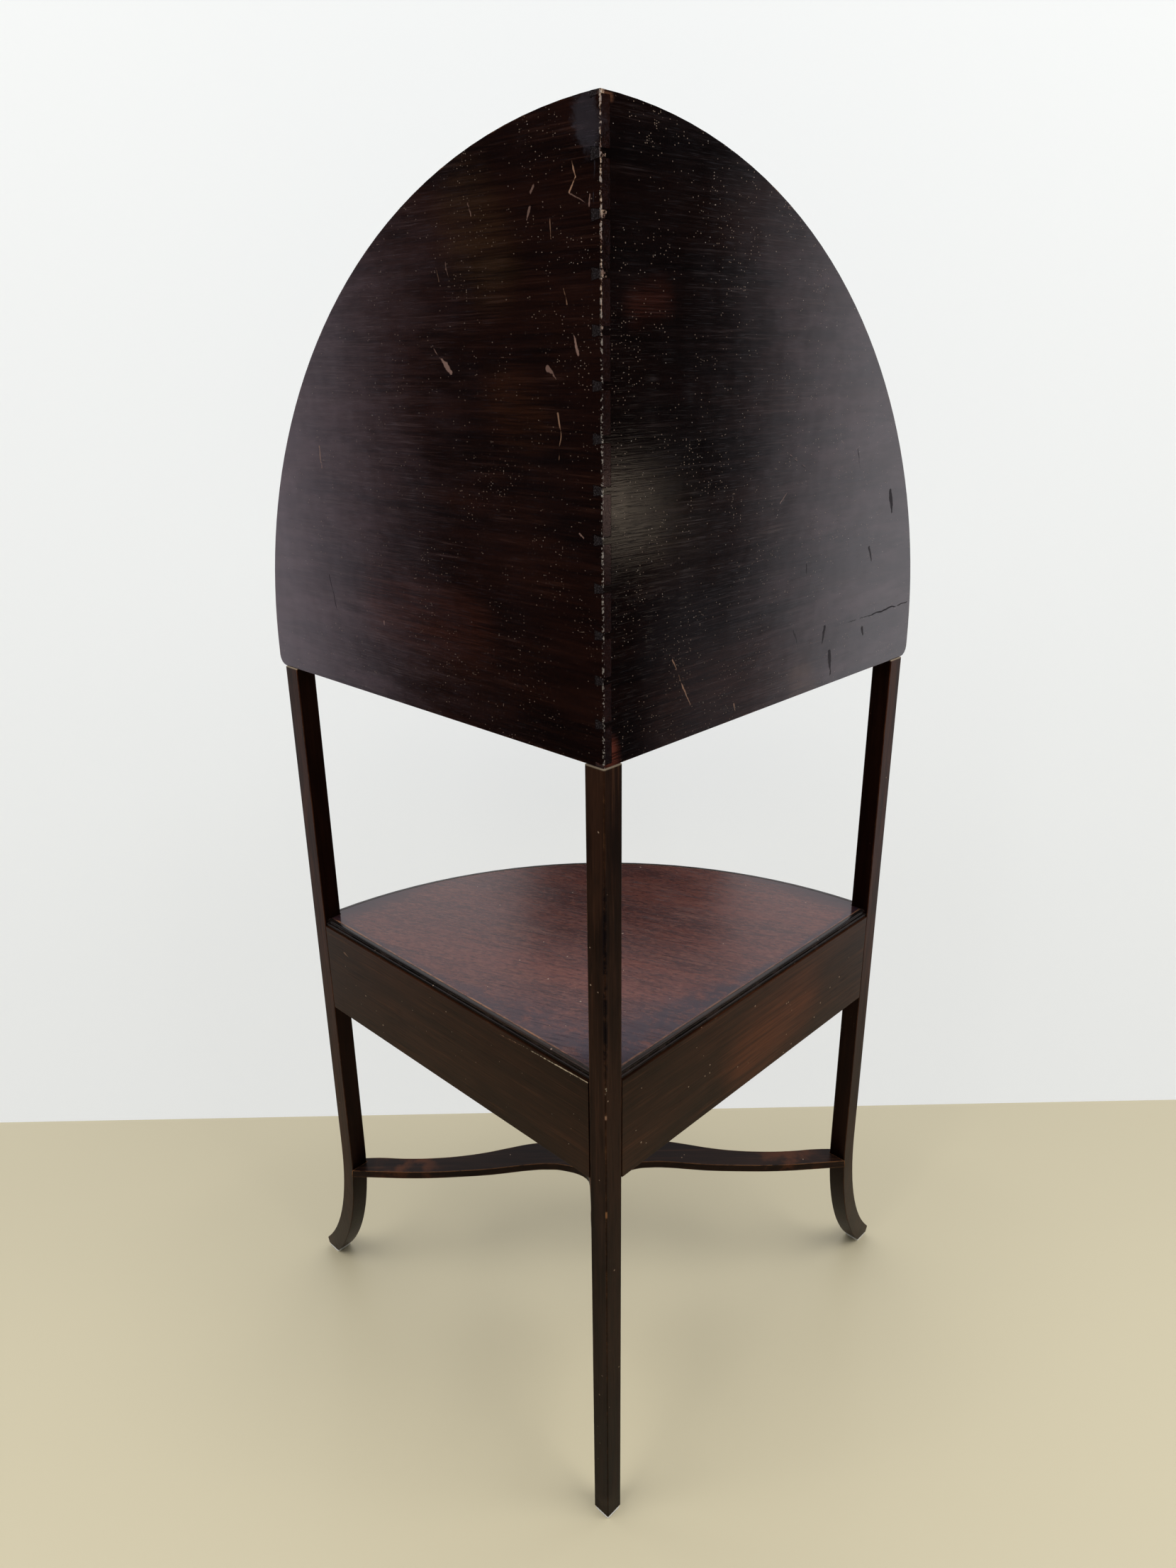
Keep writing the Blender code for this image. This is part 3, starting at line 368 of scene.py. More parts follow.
# %% Grain
GRAIN, given, result = new_group("grain", [
    ("Vector", VECTOR, None), ("Ribbon Scale", VALUE, 22.0), ("Fibre Scale", VALUE, 620.0),
], [("Ribbons", VALUE), ("Fibres", VALUE), ("Pores", VALUE), ("Streaks", VALUE)])
tree = GRAIN
slow = between(tree, "MULTIPLY", given["Vector"], (0.16, 1.0, 1.0))
fast = between(tree, "MULTIPLY", given["Vector"], (0.03, 1.0, 1.0))
ribbons = noise(tree, slow, given["Ribbon Scale"], 4.0, 0.6, 0.5)
fibres = noise(tree, fast, given["Fibre Scale"], 2.0, 0.6, 0.15)
pores = noise(tree, fast, times(tree, given["Fibre Scale"], 1.9), 1.0, 0.5)
tree.links.new(ribbons, result["Ribbons"])
bands = noise(tree, fast, times(tree, given["Fibre Scale"], 0.33), 3.0, 0.6, 0.2)
mixed = maths(tree, "ADD", times(tree, fibres, 0.5), times(tree, bands, 0.5))
tree.links.new(ramp(tree, mixed, 0.28, 0.72, smooth=False), result["Fibres"])
tree.links.new(ramp(tree, pores, 0.60, 0.72), result["Pores"])
gather = noise(tree, given["Vector"], 17.0, 3.0, 0.6)
streaks = times(tree, ramp(tree, mixed, 0.53, 0.64), ramp(tree, gather, 0.42, 0.66, 0.12, 1.0))
tree.links.new(streaks, result["Streaks"])
print("grain:", len(tree.nodes), "nodes")

# %% [markdown]
# ### Flecks
# Years of small knocks leave pale specks in the polish. A Voronoi texture cuts space into cells. A
# few of them, chosen by their random colour, show a small dot, and a broad noise gathers the dots
# into clusters.

# %% Flecks
FLECKS, given, result = new_group("flecks", [
    ("Vector", VECTOR, None), ("Cells", VALUE, 260.0), ("Amount", VALUE, 0.1),
    ("Radius", VALUE, 0.2), ("Stretch", VECTOR, (1.0, 1.0, 1.0)),
], [("Mask", VALUE)])
tree = FLECKS
bent = between(tree, "MULTIPLY", given["Vector"], given["Stretch"])
cells = place(tree, "ShaderNodeTexVoronoi", Vector=bent, Scale=given["Cells"])
chance = place(tree, "ShaderNodeSeparateColor", Color=cells.outputs["Color"]).outputs
clusters = noise(tree, given["Vector"], 19.0, 3.0, 0.65)
crowd = times(tree, given["Amount"], ramp(tree, clusters, 0.40, 0.72, 0.15, 2.2))
chosen = maths(tree, "LESS_THAN", chance["Red"], crowd)
size = times(tree, given["Radius"], ramp(tree, chance["Green"], 0.0, 1.0, 0.4, 1.3, smooth=False))
dot = maths(tree, "LESS_THAN", cells.outputs["Distance"], size)
tree.links.new(times(tree, chosen, dot), result["Mask"])
print("flecks:", len(tree.nodes), "nodes")

# %% [markdown]
# ### A single mark
# A long scratch or a smear has its own place, so it isn't left to chance. The group measures how
# far a point is from the straight line between two ends. Close to the line the mask is full, and
# it thins towards the second end, as a scratch does where the tool lifts off.

# %% Mark
MARK, given, result = new_group("mark", [
    ("Vector", VECTOR, None), ("Start", VECTOR, (0, 0, 0)), ("End", VECTOR, (0, 0, 1)),
    ("Width", VALUE, 0.001), ("Softness", VALUE, 0.001), ("Ragged", VALUE, 0.0),
    ("Bend", VALUE, 0.004),
], [("Mask", VALUE)])
tree = MARK
run = between(tree, "SUBTRACT", given["End"], given["Start"])
sway = place(tree, "ShaderNodeTexNoise", Vector=given["Vector"], Scale=75.0, Detail=1.0)
sway = between(tree, "SUBTRACT", sway.outputs[1], (0.5, 0.5, 0.5))
sway = place(tree, "ShaderNodeVectorMath", {"operation": "SCALE"}, Vector=sway, Scale=given["Bend"])
bent = between(tree, "ADD", given["Vector"], sway.outputs[0])
offset = between(tree, "SUBTRACT", bent, given["Start"])
share = maths(tree, "DIVIDE", between(tree, "DOT_PRODUCT", offset, run),
              between(tree, "DOT_PRODUCT", run, run), clamp=True)
nearest = place(tree, "ShaderNodeVectorMath", {"operation": "SCALE"}, Vector=run, Scale=share)
torn = noise(tree, given["Vector"], 330.0, 3.0, 0.7)
far = maths(tree, "ADD", between(tree, "DISTANCE", offset, nearest.outputs[0]),
            times(tree, maths(tree, "SUBTRACT", torn, 0.45), given["Ragged"]))
width = times(tree, given["Width"], ramp(tree, share, 0.35, 1.0, 1.0, 0.3))
edge = maths(tree, "ADD", width, given["Softness"])
tree.links.new(ramp(tree, far, edge, width), result["Mask"])
print("mark:", len(tree.nodes), "nodes")

# %% [markdown]
# ### Rubbed arrises
# Hands and dusters take the polish off the sharp edges first. Cycles can work out a rounded normal
# near an edge. Where it differs from the true one, the point is near an arris, and a noise breaks
# the line up, because wear is never even.

# %% Rubbed arrises
RUBBED, given, result = new_group("rubbed_arrises", [
    ("Vector", VECTOR, None), ("Radius", VALUE, 0.0016), ("Amount", VALUE, 0.5),
    ("Patch Scale", VALUE, 60.0),
], [("Mask", VALUE)])
tree = RUBBED
rounded = place(tree, "ShaderNodeBevel", {"samples": 4}, Radius=given["Radius"])
turned_away = maths(tree, "SUBTRACT", 1.0,
                    between(tree, "DOT_PRODUCT", rounded.outputs[0], true_normal(tree)))
patches = noise(tree, given["Vector"], given["Patch Scale"], 5.0, 0.7)
hold = ramp(tree, maths(tree, "ADD", patches, maths(tree, "SUBTRACT", given["Amount"], 0.5)),
            0.42, 0.62)
tree.links.new(times(tree, ramp(tree, turned_away, 0.03, 0.15), hold), result["Mask"])
print("rubbed arrises:", len(tree.nodes), "nodes")

# %% [markdown]
# ## Coordinates that follow the grain
# Every finish reads Object coordinates, which are the same for all pieces here. A Mapping node
# turns them until the first axis runs along the grain: along one of the walls, across the front,
# from back to front, aslant as on the shelf, or upright.

# %% Grain directions
TURNS = {"right": (0, 0, 45), "left": (0, 0, 135), "across": (0, 0, 0), "depth": (0, 0, 90),
         "aslant": (0, 0, 24), "up": (0, 90, 0)}


def along(tree, direction):
    """Object coordinates from the corner, with the first axis along the grain."""
    turn = tuple(math.radians(a) for a in TURNS[direction])
    shift = -(Matrix.Rotation(turn[2], 3, "Z") @ Matrix.Rotation(turn[1], 3, "Y") @ CORNER)
    spot = object_spot(tree)
    return place(tree, "ShaderNodeMapping", Vector=spot, Rotation=turn, Location=shift).outputs[0]


print("grain directions:", list(TURNS))

# %% [markdown]
# ## Polished mahogany
# The stand is mahogany under a French polish that time has made nearly black. One function builds
# this finish with its own grain direction, colours and wear, because legs, rails, boards and shelf
# differ only in these. The polish is the shader's own gloss, so its strength stays on the shader.

# %% Finish for polished wood
WORN = colour(0.30, 0.135, 0.055)
PALE_KNOCK = colour(0.34, 0.24, 0.17)
STREAK = colour(0.10, 0.042, 0.020)
PORE = colour(0.004, 0.002, 0.002)


def polished(name, direction, dark, light, roughness=0.26, wear=0.5, knocks=0.03, ribbon=22.0,
             wear_radius=0.0016, wear_from=None, fibre=620.0, gloss=0.5, tint=(1.0, 0.85, 0.85),
             streak=0.25, relief=0.10, dry=0.07, worn=WORN, grainy=0.0):
    """Polished mahogany. Returns the material and what later steps may add to."""
    made, tree, shader = new_material(name)
    spot = along(tree, direction)
    grain = use(tree, GRAIN, Vector=spot, Ribbon_Scale=ribbon, Fibre_Scale=fibre)
    figure = maths(tree, "ADD", times(tree, grain["Ribbons"], 0.7),
                   times(tree, grain["Fibres"], 0.3))
    wood = blend(tree, ramp(tree, figure, 0.32, 0.70), dark, light)
    wood = blend(tree, times(tree, grain["Pores"], 0.6), wood, PORE)
    wood = blend(tree, times(tree, grain["Streaks"], streak), wood, STREAK)
    rubbed = use(tree, RUBBED, Vector=spot, Radius=wear_radius, Amount=wear)["Mask"]
    if wear_from is not None:
        reached = ramp(tree, split(tree, spot)["X"], wear_from, wear_from * 1.5)
        rubbed = times(tree, rubbed, reached)
    wood = blend(tree, rubbed, wood, worn)
    pecks = use(tree, FLECKS, Vector=spot, Cells=300.0, Amount=knocks, Radius=0.22)["Mask"]
    wood = blend(tree, times(tree, pecks, 0.8), wood, PALE_KNOCK)
    smears = noise(tree, spot, 9.0, 5.0, 0.65)
    dull = ramp(tree, smears, 0.3, 0.75, roughness - 0.02, roughness + 0.04)
    dull = maths(tree, "ADD", dull, times(tree, grain["Streaks"], dry))
    dull = maths(tree, "ADD", dull, times(tree, grain["Pores"], dry))
    dull = maths(tree, "ADD", dull, times(tree, grain["Fibres"], grainy))
    dull = maths(tree, "ADD", dull, times(tree, maths(tree, "MAXIMUM", rubbed, pecks), 0.25))
    swell = noise(tree, spot, 26.0, 2.0)
    height = maths(tree, "ADD", times(tree, grain["Fibres"], relief), times(tree, swell, 0.35))
    height = maths(tree, "SUBTRACT", height, times(tree, grain["Pores"], 0.05))
    height = maths(tree, "SUBTRACT", height, times(tree, pecks, 0.12))
    bump = place(tree, "ShaderNodeBump", Strength=0.5, Distance=0.0006, Height=height)
    shader.inputs["Specular IOR Level"].default_value = gloss
    shader.inputs["Specular Tint"].default_value = colour(*tint)
    tree.links.new(wood, shader.inputs["Base Color"])
    tree.links.new(dull, shader.inputs["Roughness"])
    tree.links.new(bump.outputs[0], shader.inputs["Normal"])
    return {"material": made, "tree": tree, "shader": shader, "spot": spot, "colour": wood,
            "dull": dull, "grain": grain}


def cover(finish, mask, tint, strength=1.0, rougher=0.0):
    """Lays a further colour over a finish where a mask is."""
    tree, shader = finish["tree"], finish["shader"]
    amount = times(tree, mask, strength, clamp=True)
    finish["colour"] = blend(tree, amount, finish["colour"], tint)
    tree.links.new(finish["colour"], shader.inputs["Base Color"])
    if rougher:
        finish["dull"] = maths(tree, "ADD", finish["dull"], times(tree, amount, rougher))
        tree.links.new(finish["dull"], shader.inputs["Roughness"])


print("polish ready")

# %% [markdown]
# ## Dressing a CAD piece
# The frame's pieces are loose triangles with small chamfers. A dressed copy is welded, its flat
# faces are joined again, its arrises are rounded by a small bevel and it is shaded smooth. The copy
# stands for the CAD node, which stays as it is for the physics.

# %% Dressing
WELD = 0.00001
FLAT = math.radians(0.5)
ROUND_OFF = 0.00035
ROUND_ABOVE = math.radians(28)


def only(piece):
    """Selects one piece alone and makes it the active one."""
    bpy.ops.object.select_all(action="DESELECT")
    piece.select_set(True)
    bpy.context.view_layer.objects.active = piece


def pick(piece, test):
    """In edit mode, selects the vertices whose place passes a test."""
    bpy.ops.object.mode_set(mode="OBJECT")
    for vertex in piece.data.vertices:
        vertex.select = test(vertex.co)
    for part in (*piece.data.edges, *piece.data.polygons):
        part.select = all(piece.data.vertices[i].select for i in part.vertices)
    bpy.ops.object.mode_set(mode="EDIT")


def node_copy(node, name, material):
    """A copy of a CAD node with its own mesh, selected alone."""
    piece = bpy.data.objects.new(name, nodes[node].data.copy())
    bpy.context.scene.collection.objects.link(piece)
    piece.data.materials.clear()
    piece.data.materials.append(material)
    only(piece)
    return piece


def dress(node, name, material, body="stand", round_off=ROUND_OFF, smooth=32, shape=None):
    """A welded, rounded and smooth copy of a CAD node, in its new finish."""
    piece = node_copy(node, name, material)
    bpy.ops.object.mode_set(mode="EDIT")
    bpy.ops.mesh.select_all(action="SELECT")
    bpy.ops.mesh.remove_doubles(threshold=WELD)
    bpy.ops.mesh.dissolve_limited(angle_limit=FLAT)
    if shape:
        shape(piece)
    bpy.ops.object.mode_set(mode="OBJECT")
    bpy.ops.mesh.customdata_custom_splitnormals_clear()
    if round_off:
        rounding = piece.modifiers.new("rounding", "BEVEL")
        rounding.width = round_off
        rounding.segments = 2
        rounding.limit_method = "ANGLE"
        rounding.angle_limit = ROUND_ABOVE
        bpy.ops.object.modifier_apply(modifier=rounding.name)
    bpy.ops.object.shade_smooth_by_angle(angle=math.radians(smooth))
    settle = piece.modifiers.new("settle", "WEIGHTED_NORMAL")
    settle.keep_sharp = True
    bpy.ops.object.modifier_apply(modifier=settle.name)
    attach(piece, body)
    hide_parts(node)
    return piece


print("dressing ready, slots:", sorted({n.material_slots[0].material.name for n in nodes.values()}))

# %% [markdown]
# ## The splash boards
# The two arched boards are the largest surfaces, and we see their backs. The polish is almost black
# with a red-brown depth, the grain lies level, and hundreds of pale specks crowd towards the
# corner. Their single marks are placed at listed pixels of the photograph: a pixel is sent out as a
# ray and meets the board's face.

# %% A board's finish
# Painted light: the right board's wood colours are lighter than the left board's, a lit copy of the
# same wood.
BOARD_LOOKS = {
    "right": ((colour(0.0028, 0.0012, 0.0009), colour(0.0150, 0.0050, 0.0032)),
              0.11, 0.0, (1.0, 0.70, 0.93)),
    "left": ((colour(0.0022, 0.0009, 0.0006), colour(0.0120, 0.0039, 0.0024)),
             0.09, 0.04, (1.0, 0.88, 1.0)),
}
# Painted sheen: a greyish purple laid in patches on the boards' outer parts.
PAINTED_SHEEN = colour(0.044, 0.027, 0.031)
# Painted sheen in lighter grey streaks along the fibres of the outer parts.
SHEEN_STREAK = colour(0.034, 0.026, 0.027)
# Painted shade towards the boards' corner.
PAINTED_CORNER_SHADE = colour(0.0010, 0.0003, 0.0003)
SPECK = colour(0.28, 0.21, 0.165)
KNOCK = colour(0.60, 0.54, 0.48)


def wall_spot(side, pixel, depth=0.0):
    """Where a pixel's ray meets the outer face on one side, in that side's grain coordinates."""
    ray = (forward + picture_right * ((pixel[0] - PHOTO_SIZE.x / 2) / FOCAL_PIXELS)
           + picture_up * ((PHOTO_SIZE.y / 2 - pixel[1]) / FOCAL_PIXELS))
    away, run = (ALONG_LEFT, ALONG_RIGHT) if side == "right" else (ALONG_RIGHT, ALONG_LEFT)
    reach = (depth - away.dot(CAMERA_PLACE - CORNER)) / away.dot(ray)
    met = CAMERA_PLACE + ray * reach - CORNER
    return Vector((run.dot(met), depth * (-1 if side == "right" else 1), met.z))


def board_spot(side, pixel):
    """The same on a splash board, which stands back from the legs' faces."""
    return wall_spot(side, pixel, BOARD_REVEAL)


def board_finish(side):
    """The nearly black polish of one splash board, with painted sheen on its outer part and its
    crowd of small knocks.
    """
    woods, roughness, grainy, tint = BOARD_LOOKS[side]
    made = polished("splash_polish_" + side, side, *woods, roughness=roughness, wear=0.42,
                    knocks=0.0, grainy=grainy, wear_from=0.016, fibre=900.0, gloss=0.6,
                    streak=0.10, relief=0.11, dry=0.07, tint=tint)
    tree, spot = made["tree"], made["spot"]
    out = split(tree, spot)
    # Painted sheen: greyish purple patches on the board's outer part, where it mirrors the white
    # wall.
    level = between(tree, "MULTIPLY", spot, (0.2, 1.0, 1.0))
    clouds = noise(tree, level, 42.0, 8.0, 0.68)
    sheen_patches = times(tree, ramp(tree, clouds, 0.44, 0.66), ramp(tree, out["X"], 0.10, 0.30))
    cover(made, sheen_patches, PAINTED_SHEEN, 0.8)
    # Painted sheen: lighter grey streaks along the fibres on the board's outer part.
    sheen_streaks = times(tree, ramp(tree, made["grain"]["Fibres"], 0.45, 0.8),
                  ramp(tree, out["X"], 0.10, 0.32))
    cover(made, sheen_streaks, SHEEN_STREAK, 0.45)
    # Painted shade: the left board is painted darker towards the boards' corner, where it mirrors
    # the dim room.
    if side == "left":
        cover(made, ramp(tree, out["X"], 0.20, 0.08), PAINTED_CORNER_SHADE, 0.60)
    crowd = ramp(tree, out["X"], 0.02, 0.38, 0.15, 0.05)
    dots = use(tree, FLECKS, Vector=spot, Cells=820.0, Amount=times(tree, crowd, 1.3),
               Radius=0.23, Stretch=(0.7, 1.0, 1.0))["Mask"]
    cover(made, dots, SPECK, 0.50, 0.1)
    knocks = use(tree, FLECKS, Vector=spot, Cells=520.0, Amount=times(tree, crowd, 0.26),
                 Radius=0.15, Stretch=(0.8, 1.0, 1.0))["Mask"]
    cover(made, knocks, KNOCK, 0.6, 0.1)
    return made


board_finishes = {side: board_finish(side) for side in ("right", "left")}
print("middle of the seam on the right board:",
      [round(c, 3) for c in board_spot("right", (838, 700))])

# %% [markdown]
# Broad tints come first, because they lie deepest: warm brown where the polish has thinned, and a
# faint red low down. Each is a mark with a very wide soft edge.

# %% Tints in the boards
MM = 0.001


def lay_marks(finish, marks, spot_of, rougher=None, through=False, **shape):
    """Lays marks between pairs of pixels; widths, soft and ragged edges are in millimetres."""
    tree = finish["tree"]
    for start, end, *sizes, tint, strength in marks:
        named = dict(zip(("Width", "Softness", "Ragged"), (size * MM for size in sizes)))
        mask = use(tree, MARK, Vector=finish["spot"], Start=spot_of(start), End=spot_of(end),
                   **named, **shape)["Mask"]
        if through:
            mask = times(tree, mask, ramp(tree, finish["grain"]["Fibres"], 0.25, 0.75, 0.25, 1.0))
        cover(finish, mask, tint, strength, rougher(tint) if rougher else 0.0)


TINTS = {
    "right": [((655, 310), (690, 370), 8, 40, colour(0.036, 0.019, 0.008), 0.50),
              ((715, 570), (750, 600), 4, 34, colour(0.050, 0.017, 0.006), 0.25),
              ((540, 850), (660, 885), 8, 45, colour(0.050, 0.014, 0.008), 0.50),
              ((560, 400), (520, 700), 20, 70, colour(0.022, 0.008, 0.006), 0.40)],
    "left": [((900, 432), (934, 424), 1, 18, colour(0.050, 0.013, 0.008), 0.45),
             ((849, 133), (862, 137), 0.8, 4, colour(0.200, 0.085, 0.050), 0.6),
             ((856, 1062), (862, 1078), 4, 12, colour(0.160, 0.040, 0.025), 0.7),
             ((1127, 958), (1143, 972), 6, 18, colour(0.075, 0.045, 0.030), 0.6),
             ((960, 1000), (1120, 950), 10, 50, colour(0.035, 0.014, 0.010), 0.4)],
}
for side, tints in TINTS.items():
    lay_marks(board_finishes[side], tints, partial(board_spot, side), through=True)
print("tints:", {side: len(tints) for side, tints in TINTS.items()})

# %% [markdown]
# Then the scratches and smears. Pale ones have lost their polish, dark ones are dents that hold old
# wax. The bluish grey smudge at the top of the boards' corner is a real smudge whose sheen is
# painted into its colour.

# %% Marks on the boards
TAN = colour(0.36, 0.205, 0.13)
PINK = colour(0.36, 0.22, 0.18)
CREAM = colour(0.60, 0.50, 0.36)
DARK_WAX = colour(0.003, 0.002, 0.003)
# A smudge's bluish grey sheen, painted into its colour.
SMUDGE_SHEEN = colour(0.020, 0.020, 0.025)


def mark_roughness(tint):
    """Old wax is far duller than the wood that a pale scratch shows."""
    return 0.7 if tint is DARK_WAX else 0.2


MARKS = {
    "right": [((824, 156), (835, 208), 7, 7, 14, SMUDGE_SHEEN, 0.60),
              ((839, 205), (838, 290), 0.3, 0.6, 1.2, SMUDGE_SHEEN, 0.60),
              ((636, 524), (620, 505), 1.6, 0.8, 3.6, PINK, 0.50),
              ((620, 505), (612, 490), 0.4, 0.5, 1, PINK, 0.40),
              ((772, 520), (780, 528), 1.4, 0.8, 3.4, PINK, 0.40),
              ((780, 530), (788, 538), 0.4, 0.5, 1, PINK, 0.40),
              ((787, 583), (791, 610), 0.4, 0.4, 1, TAN, 0.60),
              ((791, 610), (788, 651), 0.3, 0.4, 1, TAN, 0.45),
              ((815, 500), (808, 470), 0.8, 0.6, 1.8, PINK, 0.55),
              ((800, 430), (795, 407), 0.3, 0.4, 1, TAN, 0.50),
              ((776, 300), (778, 338), 0.3, 0.4, 1.2, TAN, 0.50),
              ((806, 230), (812, 250), 0.3, 0.4, 1, TAN, 0.70),
              ((803, 271), (812, 250), 0.5, 0.4, 1.2, TAN, 0.75),
              ((803, 272), (826, 288), 0.2, 0.4, 1, PINK, 0.35),
              ((833, 275), (830, 300), 0.4, 0.4, 1.2, PINK, 0.45),
              ((752, 262), (748, 272), 0.6, 0.6, 2.6, PINK, 0.35),
              ((746, 293), (743, 308), 0.7, 0.6, 2.6, PINK, 0.35),
              ((600, 352), (606, 376), 0.3, 0.4, 1.4, TAN, 0.28),
              ((612, 362), (620, 398), 0.3, 0.4, 1.2, TAN, 0.28),
              ((628, 370), (632, 392), 0.6, 0.5, 2.6, PINK, 0.22),
              ((660, 286), (664, 304), 0.6, 0.5, 2.6, PINK, 0.35),
              ((450, 630), (454, 660), 0.7, 0.6, 3, TAN, 0.35),
              ((465, 812), (478, 870), 0.5, 0.5, 1, DARK_WAX, 0.90),
              ((542, 877), (544, 890), 0.5, 0.5, 1.2, PINK, 0.60),
              ((818, 752), (824, 760), 0.6, 0.5, 1.6, PINK, 0.50)],
    "left": [((1231, 866), (1286, 846), 0.6, 0.4, 0.8, DARK_WAX, 1.0),
             ((1231, 866), (1190, 880), 0.3, 0.5, 0.8, DARK_WAX, 0.7),
             ((1256, 693), (1258, 722), 2, 1, 3, DARK_WAX, 0.95),
             ((1226, 772), (1229, 790), 1, 1, 2.6, DARK_WAX, 0.8),
             ((1163, 885), (1160, 907), 1.4, 1, 3, DARK_WAX, 0.9),
             ((1170, 920), (1171, 950), 2, 1, 3.6, DARK_WAX, 0.9),
             ((1216, 885), (1217, 895), 1.2, 1, 3, DARK_WAX, 0.8),
             ((1120, 890), (1126, 915), 0.8, 0.8, 3, DARK_WAX, 0.7),
             ((1114, 643), (1137, 662), 0.4, 0.4, 1, DARK_WAX, 0.9),
             ((1114, 641), (1136, 659), 0.2, 0.3, 0.6, PINK, 0.35),
             ((1097, 718), (1110, 695), 0.3, 0.4, 1, PINK, 0.40),
             ((1210, 635), (1214, 662), 0.3, 0.4, 1, DARK_WAX, 0.9),
             ((1137, 795), (1138, 815), 0.5, 0.4, 1, DARK_WAX, 0.9),
             ((949, 930), (962, 965), 0.4, 0.4, 1.2, TAN, 0.55),
             ((962, 965), (974, 996), 0.4, 0.4, 1.2, TAN, 0.55),
             ((1035, 993), (1037, 1002), 0.6, 0.5, 1.2, TAN, 0.5)],
}
for side, marks in MARKS.items():
    lay_marks(board_finishes[side], marks, partial(board_spot, side), mark_roughness)
print("marks:", {side: len(marks) for side, marks in MARKS.items()})

# %% [markdown]
# ### The chipped corner
# Where the boards meet, the sharp corner has been knocked for two centuries. High up the polish is
# gone in one ragged tan line, and lower down only a row of tiny nicks is left. One mask is a band
# whose width comes from a rough noise, and the other is a thin line broken into dots.

# %% Chips along the corner
CHIPS, given, result = new_group("corner_chips", [
    ("Vector", VECTOR, None), ("Reach", VALUE, 0.004), ("Solid Above", VALUE, 1.075),
], [("Ragged", VALUE), ("Specks", VALUE)])
tree = CHIPS
out = split(tree, given["Vector"])
flat = place(tree, "ShaderNodeCombineXYZ", X=out["X"], Y=maths(tree, "ABSOLUTE", out["Y"]))
away = between(tree, "DISTANCE", flat.outputs[0], (BOARD_REVEAL, BOARD_REVEAL, 0.0))
outer = ramp(tree, maths(tree, "ABSOLUTE", out["Y"]), BOARD_REVEAL + 0.0012, BOARD_REVEAL + 0.0008)
torn = noise(tree, given["Vector"], 260.0, 6.0, 0.8)
high_up = ramp(tree, maths(tree, "SUBTRACT", out["Z"], given["Solid Above"]), -0.02, 0.02)
reach = times(tree, given["Reach"], ramp(tree, torn, 0.40, 0.62, smooth=False))
inside = maths(tree, "LESS_THAN", away, times(tree, reach, high_up))
nicks = noise(tree, given["Vector"], 520.0, 2.0, 0.6)
left_over = ramp(tree, nicks, 0.44, 0.52, 0.12, 1.0)
tree.links.new(times(tree, inside, outer, left_over), result["Ragged"])
thin = ramp(tree, away, 0.0014, 0.0009)
often = times(tree, ramp(tree, nicks, 0.54, 0.58), ramp(tree, torn, 0.38, 0.52))
tree.links.new(times(tree, thin, often, outer), result["Specks"])

CHIPPED_DARK, CHIPPED_PALE = colour(0.13, 0.065, 0.040), colour(0.50, 0.35, 0.24)
NICK = colour(0.46, 0.42, 0.38)
for side, reach in (("right", 1.0 * MM), ("left", 5.6 * MM)):
    finish = board_finishes[side]
    chips = use(finish["tree"], CHIPS, Vector=finish["spot"], Reach=reach)
    patchy = noise(finish["tree"], finish["spot"], 150.0, 3.0)
    bare = blend(finish["tree"], ramp(finish["tree"], patchy, 0.42, 0.60), CHIPPED_DARK,
                 CHIPPED_PALE)
    cover(finish, chips["Ragged"], bare, 0.9, 0.3)
    cover(finish, chips["Specks"], NICK, 0.5, 0.2)
print("corner chips:", len(tree.nodes), "nodes")

# %% [markdown]
# The left board's pins pass through the right board, and their ends show there as small squares of
# end grain. They soak up polish, so they look duller and greyer. The mask is the way a face looks.

# %% The pins' ends
END_GRAIN = colour(0.017, 0.013, 0.013)
finish = board_finishes["left"]
facing = true_normal(finish["tree"])
end_grain = ramp(finish["tree"], between(finish["tree"], "DOT_PRODUCT", facing, tuple(-ALONG_LEFT)),
                 0.9, 0.95)
pitted = noise(finish["tree"], finish["spot"], 900.0, 2.0)
cover(finish, times(finish["tree"], end_grain,
                    ramp(finish["tree"], pitted, 0.35, 0.65, 0.3, 1.0)),
      END_GRAIN, 0.8, 0.2)
print("pins' ends look along:", [round(c, 2) for c in -ALONG_LEFT])

# %% [markdown]
# Now the boards get their finish. Their dovetails fit closely, so these two are not bevelled again.

# %% Dress the boards
for side in ("right", "left"):
    dress("splash_board_" + side, "board_" + side, board_finishes[side]["material"], round_off=0)

# %% [markdown]
# ## The legs
# Each leg is one upright stick of mahogany, so its grain runs up. The outer faces have a brown
# sheen and rubbed arrises. A thin pale line on the ledge where the splash boards sit on the legs'
# shoulders is partly pale dust and partly a painted highlight. Dust has greyed the feet. The polish
# is painted darker towards the floor as painted shade, and the side legs' inner faces, which look
# towards the corner, are painted near black as painted shade.

# %% Legs
# Painted shade: the legs are darkened towards the floor.
PAINTED_FLOOR_SHADE = colour(0.0045, 0.0024, 0.0015)
FLOOR_SHADE_HEIGHTS = (0.45, 0.05)
LEDGE_BAND = (0.0014, 0.0006)
FOOT_DUST = colour(0.10, 0.08, 0.055)
FOOT_DUST_HEIGHT = 0.05
# Painted shade for the side legs' faces that look towards the corner.
PAINTED_INNER_SHADE = colour(0.0035, 0.0014, 0.0011)


